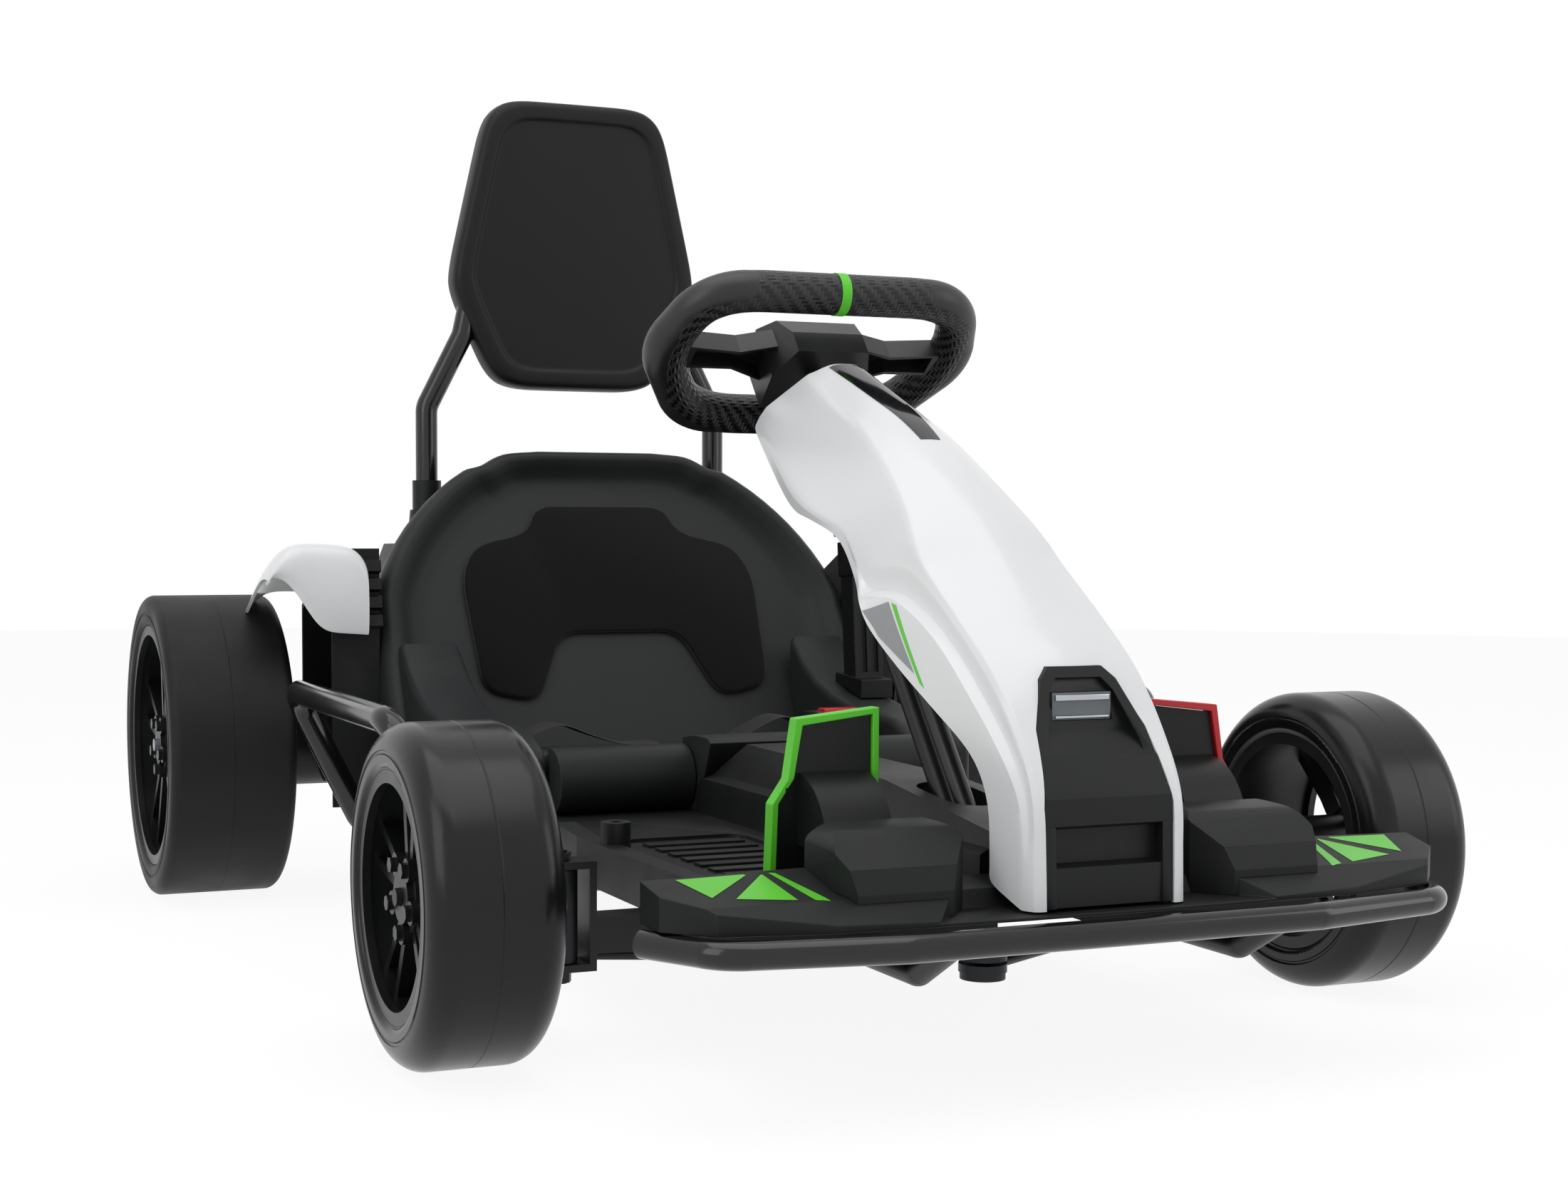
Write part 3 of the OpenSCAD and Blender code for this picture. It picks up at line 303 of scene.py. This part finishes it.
def settle(piece, body, material=None, replaced=()):
    """Gives a finished piece its material, its body and the nodes that it stands for."""
    if material:
        piece.data.materials.clear()
        piece.data.materials.append(material)
    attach(piece, body)
    if replaced:
        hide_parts(*replaced)
    return piece


def rounded_copy(name, width_mm, segments=2, angle=32, merge_mm=0.02):
    """A welded copy of a CAD node with its edges rounded, in the node's place."""
    node = NODES[name]
    piece = bpy.data.objects.new(name + "_skin", node.data.copy())
    bpy.context.scene.collection.objects.link(piece)
    pick(piece)
    bpy.ops.object.mode_set(mode="EDIT")
    bpy.ops.mesh.select_all(action="SELECT")
    bpy.ops.mesh.remove_doubles(threshold=merge_mm * MM)
    bpy.ops.mesh.dissolve_limited(angle_limit=math.radians(0.5))
    bpy.ops.object.mode_set(mode="OBJECT")
    soften(piece, angle)
    modify(piece, "BEVEL", width=width_mm * MM, segments=segments, limit_method="ANGLE",
           angle_limit=math.radians(angle), harden_normals=True, use_clamp_overlap=True)
    return settle(piece, node["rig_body"], None, [name])


# %% [markdown]
# ## Studio
# The photograph was taken against white with large soft lights. The world gives an even pale
# light, one wide lamp overhead gives the form, and the floor is pale and keeps the shadow.

# %% Floor, backdrop and lights
WHITE_BACK = 1.0
world = bpy.data.worlds.new("studio")
bpy.context.scene.world = world
world.use_nodes = True
world.node_tree.nodes.clear()


def world_node(kind, inputs=None, **settings):
    """The same as add_node, for the world."""
    class Holder:
        node_tree = world.node_tree
    return add_node(Holder, kind, inputs, **settings)


path = world_node("ShaderNodeLightPath").outputs
seen = world_node("ShaderNodeMath", {0: path["Is Camera Ray"], 1: path["Is Glossy Ray"]},
                  operation="MAXIMUM")
seen = world_node("ShaderNodeMath", {0: seen.outputs[0], 1: path["Is Transmission Ray"]},
                  operation="MAXIMUM")
lit = world_node("ShaderNodeBackground", {"Color": linear("#f4f6f8"), "Strength": 0.42})
white = world_node("ShaderNodeBackground", {"Color": (1, 1, 1, 1), "Strength": WHITE_BACK})
both = world_node("ShaderNodeMixShader", {0: seen.outputs[0], 1: lit.outputs[0],
                                          2: white.outputs[0]})
world_node("ShaderNodeOutputWorld", {"Surface": both.outputs[0]})

start_afresh()
bpy.ops.mesh.primitive_circle_add(vertices=96, radius=6, fill_type="NGON", location=(0, 0, 0))
floor = bpy.context.object
floor.name = "studio_floor"
floor_paint, floor_out = new_material("pale_studio_floor")
floor_path = add_node(floor_paint, "ShaderNodeLightPath").outputs
floor_seen = add_node(floor_paint, "ShaderNodeMath",
                      {0: floor_path["Is Camera Ray"], 1: floor_path["Is Glossy Ray"]},
                      operation="MAXIMUM")
floor_part = add_node(floor_paint, "ShaderNodeMath", {0: floor_seen.outputs[0], 1: 0.86},
                      operation="MULTIPLY")
floor_matt = add_node(floor_paint, "ShaderNodeBsdfDiffuse", {"Color": linear("#f2f2f2")})
floor_glow = add_node(floor_paint, "ShaderNodeEmission", {"Color": (1, 1, 1, 1), "Strength": 1.06})
floor_mix = add_node(floor_paint, "ShaderNodeMixShader",
                     {0: floor_part.outputs[0], 1: floor_matt.outputs[0], 2: floor_glow.outputs[0]})
floor_paint.node_tree.links.new(floor_mix.outputs[0], floor_out.inputs["Surface"])
floor.data.materials.append(floor_paint)

LAMPS = [   # name, place, aimed at, width, height, watts
    ("overhead", (-0.3, -0.5, 2.6), (0, 0, 0.2), 2.6, 2.2, 27),
    ("left_bank", (-2.4, -1.2, 1.5), (0, 0, 0.3), 1.4, 2.0, 15),
    ("right_bank", (2.2, -1.8, 1.3), (0, 0, 0.3), 1.0, 1.8, 9),
]
for name, place, aim, width, height, watts in LAMPS:
    light = bpy.data.lights.new(name, "AREA")
    light.shape = "RECTANGLE"
    light.size = width
    light.size_y = height
    light.energy = watts
    lamp = bpy.data.objects.new(name, light)
    bpy.context.scene.collection.objects.link(lamp)
    facing = (Vector(aim) - Vector(place)).to_track_quat("-Z", "Y")
    lamp.matrix_world = Matrix.Translation(place) @ facing.to_matrix().to_4x4()
bpy.context.scene.view_settings.view_transform = "Standard"
print(len(LAMPS), "lamps")

# %% Rounded copies of the moulded and cast nodes
for name, width in (("front_deck", 2.5), ("foot_blocks", 4), ("floor_pan", 2), ("nose_insert", 1.5),
                    ("pedal_right", 1.2), ("pedal_left", 1.2), ("pedal_trim_right", 1.6),
                    ("pedal_trim_left", 1.6), ("seat_base", 3), ("rear_cover", 3),
                    ("hand_lever", 2)):
    piece = rounded_copy(name, width)
    print(name, len(piece.data.polygons), "faces")

# %% [markdown]
# ## Skins through rows of points
# A moulded skin is a sheet of faces. It starts as a flat grid from the Add menu, and its corners
# are moved, row by row, to points that follow the real form. Subdivision then smooths it, and
# Solidify gives it a wall.

# %% Helpers for skins
def skin(name, rows, outward=None):
    """A grid whose corners lie on the given rows of points, in mm. outward is a direction that
    the middle face has to look in."""
    start_afresh()
    bpy.ops.mesh.primitive_grid_add(x_subdivisions=len(rows[0]) - 1, y_subdivisions=len(rows) - 1,
                                    size=1)
    piece = bpy.context.object
    piece.name = name
    for vertex, point in zip(piece.data.vertices, (p for row in rows for p in row)):
        vertex.co = Vector(point) * MM
    piece.data.update()
    bpy.ops.object.mode_set(mode="EDIT")
    bpy.ops.mesh.select_all(action="SELECT")
    bpy.ops.mesh.remove_doubles(threshold=0.01 * MM)
    bpy.ops.mesh.normals_make_consistent(inside=False)
    bpy.ops.object.mode_set(mode="OBJECT")
    if outward:
        faces = piece.data.polygons
        total = sum((f.normal * f.area for f in faces), Vector())
        if total.dot(Vector(outward)) < 0:
            bpy.ops.object.mode_set(mode="EDIT")
            bpy.ops.mesh.flip_normals()
            bpy.ops.object.mode_set(mode="OBJECT")
    return piece


def between(a, b, share):
    """The point at a share of the way from a to b."""
    return tuple(p + (q - p) * share for p, q in zip(a, b))


def curve_through(points, steps):
    """More points on a smooth curve through the given ones."""
    ends = [between(points[1], points[0], 2)] + list(points) + [between(points[-2], points[-1], 2)]
    out = []
    for a, b, c, d in zip(ends, ends[1:], ends[2:], ends[3:]):
        for k in range(steps):
            t = k / steps
            out.append(tuple(0.5 * (2 * q + (r - p) * t + (2 * p - 5 * q + 4 * r - s) * t * t
                                    + (3 * q - p - 3 * r + s) * t ** 3)
                             for p, q, r, s in zip(a, b, c, d)))
    return out + [points[-1]]


def round_corners(corners, radius, steps=5):
    """A closed outline with its corners rounded to about the given radius."""
    out = []
    for k, corner in enumerate(corners):
        before, after = corners[k - 1], corners[(k + 1) % len(corners)]
        to_before = min(radius, 0.45 * math.dist(corner, before)) / math.dist(corner, before)
        to_after = min(radius, 0.45 * math.dist(corner, after)) / math.dist(corner, after)
        a, b = between(corner, before, to_before), between(corner, after, to_after)
        for i in range(steps + 1):
            t = i / steps
            out.append(between(between(a, corner, t), between(corner, b, t), t))
    return out


def prism(name, outline, place, depth_mm):
    """A closed block from an outline: place turns a point of it and a depth into a place in mm."""
    rows = [[place(p, depth) for p in outline + outline[:1]] for depth in (0, depth_mm)]
    piece = skin(name, rows)
    pick(piece)
    bpy.ops.object.mode_set(mode="EDIT")
    bpy.ops.mesh.select_all(action="DESELECT")
    bpy.ops.mesh.select_non_manifold()
    bpy.ops.mesh.edge_face_add()
    bpy.ops.mesh.select_all(action="SELECT")
    bpy.ops.mesh.fill_holes(sides=0)
    bpy.ops.mesh.normals_make_consistent(inside=False)
    bpy.ops.object.mode_set(mode="OBJECT")
    return piece


def cut_away(piece, cutter):
    """Takes the cutter's form out of the piece and deletes the cutter."""
    modify(piece, "BOOLEAN", object=cutter, operation="DIFFERENCE", solver="EXACT")
    bpy.data.objects.remove(cutter, do_unlink=True)


def sticker(name, corners, direction, target, material, lift_mm=0.25, cells=10):
    """A four-cornered film laid on another piece along X or Z."""
    a, b, c, d = corners
    rows = [[between(between(a, b, i / cells), between(d, c, i / cells), k / cells)
             for i in range(cells + 1)] for k in range(cells + 1)]
    film = skin(name, rows)
    modify(film, "SHRINKWRAP", target=target, wrap_method="PROJECT", offset=lift_mm * MM,
           use_project_x=direction == "X", use_project_z=direction == "Z",
           use_negative_direction=True, use_positive_direction=True)
    modify(film, "SOLIDIFY", thickness=0.15 * MM, offset=0)
    soften(film, 40)
    return settle(film, NODES["fairing"]["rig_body"], material)


# %% [markdown]
# ## Fairing
# The nose is one white moulding. A designer draws it by its lines: the middle of the hood, the
# soft ridge beside it, the crease that runs down the flank, the valley under that crease, the
# flank's upper edge and the lower edge. Each line is given where it bends, from the steering
# wheel down to the deck, and the skin is stretched between them. Close lines stay crisp under
# Subdivision, and wide ones turn soft, as on the real moulding.

# %% The fairing's lines, in mm
FAIRING = [  # hood middle (y, z), ridge, flank crease, valley, flank top, lower edge (x, y, z)
    ((-187, 485), (28, -179, 477), (46, -140, 453), (48, -132, 446), (49, -129, 442), (50, -125, 436)),
    ((-256, 456), (31, -241, 449), (50, -213, 408), (57, -207, 393), (57, -205, 387), (55, -201, 377)),
    ((-304, 435), (34, -290, 428), (54, -262, 382), (60, -256, 371), (60, -254, 368), (59, -250, 364)),
    ((-355, 405), (40, -341, 397), (57, -312, 364), (60, -306, 357), (60, -304, 354), (60, -300, 350)),
    ((-392, 378), (47, -379, 370), (59, -343, 337), (61, -335, 329), (61, -333, 326), (61, -329, 321)),
    ((-416, 359), (53, -401, 351), (60, -362, 330), (61, -354, 315), (72, -362, 309), (76, -366, 305)),
    ((-440, 339), (55, -420, 333), (58, -404, 330), (58.5, -399, 313), (68, -398, 311), (77, -385, 288)),
    ((-480, 305), (55, -463, 304), (58, -459, 301), (58, -453, 291), (67, -455, 288), (77, -430, 263)),
    ((-527, 268), (54, -517, 264), (57, -514, 261), (58, -502, 256), (66, -503, 252), (75, -474, 240)),
    ((-551, 222), (52, -551, 222), (55, -549, 222), (56.5, -541, 218), (63, -541, 215), (69, -513, 214)),
    ((-566, 190), (51, -567, 190), (55, -566, 189), (56, -559, 188), (60, -558, 187), (65, -527, 186)),
    ((-568, 155), (51, -570, 155), (55, -568, 155), (57, -564, 155), (59, -560, 155), (63, -527, 155)),
    ((-569, 121), (51, -571, 121), (55, -569, 121), (57, -565, 121), (59, -560, 121), (63, -527, 134)),
]
# How flat the hood's middle is at each station, so that the window lies level at the top
FLAT = [1, 1, 1, 0.7, 0.3] + [0] * 8
stations = []
for (middle, ridge, crease, valley, flank, edge), flat in zip(FAIRING, FLAT):
    middle = (0, *middle)
    half = [between(middle, ridge, 0.45), between(middle, ridge, 0.85), ridge,
            between(ridge, crease, 0.5), crease, valley, flank, between(flank, edge, 0.5), edge]
    half[0] = between((half[0][0], half[0][1], half[0][2] + 1.2), (half[0][0], *middle[1:]), flat)
    twin = [(-x, y, z) for x, y, z in half]
    stations.append(twin[::-1] + [middle] + half)
lines = [curve_through(line, 3) for line in zip(*stations)]
fairing = skin("fairing_skin", [list(row) for row in zip(*lines)], outward=(0, -1, 0.6))
# How crisp each long line stays: the ridge, the crease, the valley and the flank's upper edge
CRISP = {2: 0.4, 4: 0.9, 5: 0.8, 6: 0.9}
across = len(lines)
weights = fairing.data.attributes.new("crease_edge", "FLOAT", "EDGE")
for edge in fairing.data.edges:
    a, b = edge.vertices
    if a % across == b % across:
        weights.data[edge.index].value = CRISP.get(abs(a % across - across // 2) - 1, 0)
modify(fairing, "SUBSURF", levels=2, render_levels=2)
modify(fairing, "SOLIDIFY", thickness=3 * MM, offset=-1)
nose_hole = [(-46, 100), (46, 100), (47, 185), (40, 232), (28, 260), (18, 269), (-18, 269),
             (-28, 260), (-40, 232), (-47, 185)]
cutter = prism("nose_cutter", [(x * 1.015, z) for x, z in nose_hole],
               lambda p, d: (p[0], -620 + d, p[1]), 120)
cut_away(fairing, cutter)
soften(fairing, 38)
settle(fairing, NODES["fairing"]["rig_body"], white_abs, ["fairing"])
print("fairing", len(fairing.data.polygons), "faces")

# %% [markdown]
# ## Fenders
# Each fender is a thin white moulding with a soft brow. Its front face is low by the seat and is
# cut up in an S toward the wheel, and its top falls away behind. Stations across it give the
# height of the face's foot and of the brow.

# %% Fender skins
FENDER = [  # distance from the middle, foot, brow
    (261.5, 257, 322), (263, 257.2, 327), (268, 257.6, 334), (276, 258.2, 339), (288, 259, 341),
    (299, 260.3, 341.6), (308.4, 266, 342), (317.7, 279.3, 342), (325.2, 291.5, 341.4),
    (332.6, 301, 339.3), (340, 308, 334.5), (347.4, 310.5, 325), (352.5, 308, 317), (355, 303, 309)]
for side, word in ((-1, "right"), (1, "left")):
    rows = [[(side * x, y, foot + (brow - foot) * share + lift) for x, foot, brow in FENDER]
            for y, share, lift in ((281, 0, 0), (279.5, 0.03, 0), (277, 0.3, 0), (278, 0.7, 0),
                                   (283, 0.95, -1), (292, 1, 0.4), (312, 1, -1.5), (332, 1, -8),
                                   (372, 1, -27), (408, 1, -44.5), (410, 1, -45.5))]
    fender = skin("fender_skin_" + word, rows, outward=(0, -1, 1))
    modify(fender, "SUBSURF", levels=2, render_levels=2)
    modify(fender, "SOLIDIFY", thickness=2.6 * MM, offset=-1)
    soften(fender, 40)
    settle(fender, NODES["fender_" + word]["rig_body"], white_abs,
           ["fender_" + word])

# %% [markdown]
# ## Window and side graphic
# The dark window is a tapered strip let into the hood. The flank carries a printed film: a grey
# field, a white line and a green stripe. Both are laid on with Shrinkwrap, which drops a flat grid
# on the curved skin like a real film.

# %% Window and film
window = sticker("dash_window_pane", [(-15, -189, 500), (15, -189, 500), (8, -327, 460),
                                      (-8, -327, 460)], "Z", fairing, smoked,
                 lift_mm=0.5, cells=12)
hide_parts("dash_window")
for side, word in ((-1, "right"), (1, "left")):
    sticker("flank_film_grey_" + word, [(side * 90, -372, 301), (side * 90, -397, 308),
                                        (side * 90, -446, 262), (side * 90, -397, 284)],
            "X", fairing, film_grey)
    sticker("flank_film_green_" + word, [(side * 90, -400.5, 307.5), (side * 90, -407, 306),
                                         (side * 90, -460, 253), (side * 90, -454, 256)],
            "X", fairing, film_green)

# %% [markdown]
# ## Seat back
# The bucket's back is an arch with a hump. Its rim is a fat roll that falls softly into a flat
# field, so it is made as rings: each ring is the outline drawn in a little and lifted or lowered,
# from the edge behind over the rim and down into the dish.

# %% The arch and its rings
LEAN = math.radians(26.6)
BACK_FOOT = Vector((0, 262, 140))


def on_back(across, up, out):
    """A place in mm from coordinates in the plane of the seat's back."""
    return tuple(BACK_FOOT + Vector((across, up * math.sin(LEAN) - out * math.cos(LEAN),
                                     up * math.cos(LEAN) + out * math.sin(LEAN))))


def ringed(name, outline, rings, place, middle_up, hold_below=None):
    """Rings of one outline: (share of its width, share of its height, depth)."""
    rows = []
    for wide, high, depth in rings:
        row = []
        for across, up in outline + outline[:1]:
            share = 1 if hold_below is not None and up < hold_below else high
            row.append(place(across * wide, middle_up + (up - middle_up) * share, depth))
        rows.append(row)
    return skin(name, rows)


arch = []
for degrees in range(163, 122, -4):
    a = math.radians(degrees)
    arch.append((256 * math.cos(a), 86 + 256 * math.sin(a)))
hump = curve_through([arch[-1], (-122, 306), (-99, 318), (-62, 322)], 4)[1:]
half = [(-245, -18), (-246, 60), (-246, 120)] + arch + hump
shell_outline = half + [(-x, v) for x, v in half[::-1]]
seat_back = ringed("seat_back", shell_outline, [
    (0, 0, -24), (0.5, 0.5, -24), (0.97, 0.97, -24), (0.995, 0.995, -22), (1, 1, -16), (1, 1, 2), (0.996, 0.997, 9),
    (0.982, 0.985, 17), (0.962, 0.968, 21), (0.942, 0.95, 22), (0.922, 0.932, 20), (0.89, 0.905, 12),
    (0.86, 0.88, 5), (0.835, 0.86, 1.5), (0.81, 0.84, 0.2), (0.78, 0.81, 0), (0.5, 0.5, 0),
    (0.2, 0.2, 0), (0, 0, 0)], on_back, 120, hold_below=60)
soften(seat_back, 50)
settle(seat_back, NODES["seat_shell"]["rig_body"], seat_pp, ["seat_shell"])


# %% Seat sides and floor
def board(name, profile, low_x, high_x, round_mm, material):
    """A block with a profile drawn from the side, and rounded edges."""
    piece = prism(name, profile, lambda p, d: (low_x + d, p[0], p[1]), high_x - low_x)
    modify(piece, "BEVEL", width=round_mm * MM, segments=3, limit_method="ANGLE",
           angle_limit=math.radians(25), use_clamp_overlap=True)
    soften(piece, 35)
    return settle(piece, NODES["seat_shell"]["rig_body"], material)


side_line = [(21, 95), (21, 160), (36, 172), (66, 183), (108, 186), (150, 188), (196, 196),
             (230, 207), (262, 226), (292, 250), (292, 95)]
board("seat_side_right", side_line, -232, -172, 7, seat_pp)
board("seat_side_left", side_line, 172, 232, 7, seat_pp)
board("seat_floor", [(28.6, 95), (28.6, 168), (70, 166), (266, 148.6), (266, 95)], -176, 176, 4,
      seat_pp)

# %% [markdown]
# ## Felt pad and lap belt
# A pad of needled felt is glued to the back. It is thin, but its edge is pressed down, so its
# copy gets a wide round edge and a faint unevenness. The belt is flat webbing that rises in low
# bows from the seat, each one a strip with a wall, and its buckle is a moulded block.

# %% Pad
PAD = [(-148, 66), (-94, 54), (-62, 126), (62, 126), (94, 54), (148, 66), (154, 186), (138, 220),
       (80, 234), (68, 264), (-68, 264), (-80, 234), (-138, 220), (-154, 186)]
pad = prism("seat_pad_felt", round_corners(PAD, 20, 5),
            lambda p, d: on_back(p[0], p[1], 0.3 + d), 6)
modify(pad, "BEVEL", width=2.2 * MM, segments=3, limit_method="ANGLE",
       angle_limit=math.radians(50), use_clamp_overlap=True)
soften(pad, 40)
settle(pad, NODES["seat_pad"]["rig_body"], felt, ["seat_pad"])

# %% Belt and buckle
def bow(name, points, half_wide):
    """A strip of webbing that follows points seen from the front, across the kart."""
    line = curve_through(points, 6)
    rows = [[(x, y - half_wide, z), (x, y, z + 0.6), (x, y + half_wide, z)] for x, y, z in line]
    strap = skin(name, rows, outward=(0, 0, 1))
    modify(strap, "SOLIDIFY", thickness=1.6 * MM, offset=0)
    modify(strap, "SUBSURF", levels=1, render_levels=1)
    soften(strap, 60)
    return settle(strap, NODES["lap_belt"]["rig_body"], webbing)


webs = [bow("lap_strap_right", [(-172, 140, 163), (-150, 138, 176), (-128, 134, 182), (-100, 130, 172),
                                (-70, 128, 163.5), (-36, 128, 163)], 20),
        bow("lap_strap_middle", [(6, 122, 163.5), (34, 122, 165), (58, 122, 176), (78, 120, 184),
                                 (96, 118, 180), (112, 116, 170)], 20)]
buckle = board("belt_buckle", [(92, 166), (94, 184), (104, 188), (132, 187), (141, 178), (141, 162)],
               112, 166, 4, trim_pp)
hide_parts("lap_belt")
board("buckle_button", [(100, 184), (101, 190.4), (118, 190.2), (119, 184)], 122, 158, 1.5, red_pp)

# %% [markdown]
# ## Backrest
# A foam pad with a moulded skin: round shoulders, a flat border, then a soft step down to a flat
# field. The same rings make it, drawn in the upright plane.

# %% Backrest
REST_FRONT, REST_FOOT = 440, 497
rest_outline = round_corners([(-66, 1), (66, 1), (92, 13), (131, 98), (131, 122), (98, 268),
                              (86, 286), (66, 295), (-66, 295), (-86, 286), (-98, 268), (-131, 122),
                              (-131, 98), (-92, 13)], 26, 4)
backrest = ringed("backrest_pad", rest_outline, [
    (0, 0, 37), (0.5, 0.5, 37.5), (0.9, 0.91, 37.5), (0.965, 0.97, 36), (0.993, 0.994, 31),
    (1, 1, 24), (1, 1, 13), (0.994, 0.995, 7), (0.975, 0.979, 2.6), (0.95, 0.957, 0.9),
    (0.92, 0.932, 0.3), (0.865, 0.885, 0.2), (0.85, 0.872, 0.6), (0.838, 0.862, 2.4),
    (0.826, 0.852, 3), (0.8, 0.83, 2.8), (0.5, 0.5, 1.6), (0.2, 0.2, 1.2), (0, 0, 1.2)],
    lambda a, u, d: (a, REST_FRONT + d, REST_FOOT + u), 148)
modify(backrest, "SUBSURF", levels=1, render_levels=1)
soften(backrest, 60)
settle(backrest, NODES["backrest"]["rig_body"], skin_foam, ["backrest"])

# %% [markdown]
# ## Steering wheel's grip
# The rim is foam under a vinyl skin with an embossed weave. Its path is an outline with round
# corners in the wheel's own plane, and a circle is carried round it. The grid keeps its UV map,
# U along the rim and V around it, so that the weave follows the bends.

# %% Grip
WHEEL_LEAN = math.radians(38.5)
WHEEL_AT = Vector((0, -119, 496))
DOWN_WHEEL = Vector((0, math.cos(WHEEL_LEAN), -math.sin(WHEEL_LEAN)))
WHEEL_AXIS = Vector((0, math.sin(WHEEL_LEAN), math.cos(WHEEL_LEAN)))
grip_path = round_corners([(108, -70), (128, -2), (86, 72), (-86, 72), (-128, -2), (-108, -70)],
                          46, 8)


def evened(outline, count):
    """The same closed outline by count points at even distances, so that a pattern isn't
    stretched on the straights."""
    ring = outline + outline[:1]
    run = [0]
    for a, b in zip(ring, ring[1:]):
        run.append(run[-1] + math.dist(a, b))
    out, k = [], 0
    for i in range(count):
        target = run[-1] * i / count
        while run[k + 1] < target:
            k += 1
        out.append(between(ring[k], ring[k + 1], (target - run[k]) / (run[k + 1] - run[k])))
    return out


grip_path = evened(grip_path, 120)
grip_rows = []
for k, (across, down) in enumerate(grip_path + grip_path[:1]):
    before, after = grip_path[k - 1] if k < len(grip_path) else grip_path[-1], \
        grip_path[(k + 1) % len(grip_path)]
    along = Vector((after[0] - before[0], after[1] - before[1])).normalized()
    out2 = Vector((along.y, -along.x))
    centre = WHEEL_AT + Vector((across, 0, 0)) + DOWN_WHEEL * down
    outward = Vector((out2.x, 0, 0)) + DOWN_WHEEL * out2.y
    grip_rows.append([tuple(centre + (outward * math.cos(a) + WHEEL_AXIS * math.sin(a)) * 16.3)
                      for a in (math.tau * i / 24 for i in range(25))])
grip = skin("steering_grip", grip_rows)
modify(grip, "SUBSURF", levels=1, render_levels=1)
soften(grip, 60)
settle(grip, NODES["steering_wheel"]["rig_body"], weave_vinyl)
print("grip", len(grip.data.polygons), "faces")

# %% [markdown]
# ## Lamp
# Behind the lamp's clear face lie bright bars that throw its light forward. They are thin boards
# on the lens, so that the face doesn't look like one flat tile.

# %% Lamp bars
bright = finish("bright_reflector", "#9ea3a6", "#c3c7ca", (0.08, 0.14), 3, 0.01,
                **{"Metallic": 1.0})
for number, (low, high) in enumerate(((237.2, 239.4), (248.6, 252.8))):
    board(f"lamp_bar_{number + 1}", [(-534.6, low), (-532, low), (-532, high),
                                     (-534.6, high - 0.6)], -20, 20, 0.5, bright)

# %% [markdown]
# ## Printed films on the deck
# Each end of the deck carries a green film cut by a dark diagonal band and a thin dark line, so
# it is laid as three small films side by side, and the deck shows between them.

# %% Deck films
deck_skin = bpy.data.objects["front_deck_skin"]
FILMS = [[(268, -503), (222, -501), (221, -502.5), (257, -535)],
         [(211, -503), (210, -504), (206, -547), (243, -539)],
         [(205, -501), (201, -502), (186, -551), (195, -549)]]
for side, word in ((-1, "right"), (1, "left")):
    for number, film in enumerate(FILMS):
        sticker(f"deck_film_{word}_{number + 1}", [(side * x, y, 170) for x, y in film], "Z",
                deck_skin, film_green, cells=8)
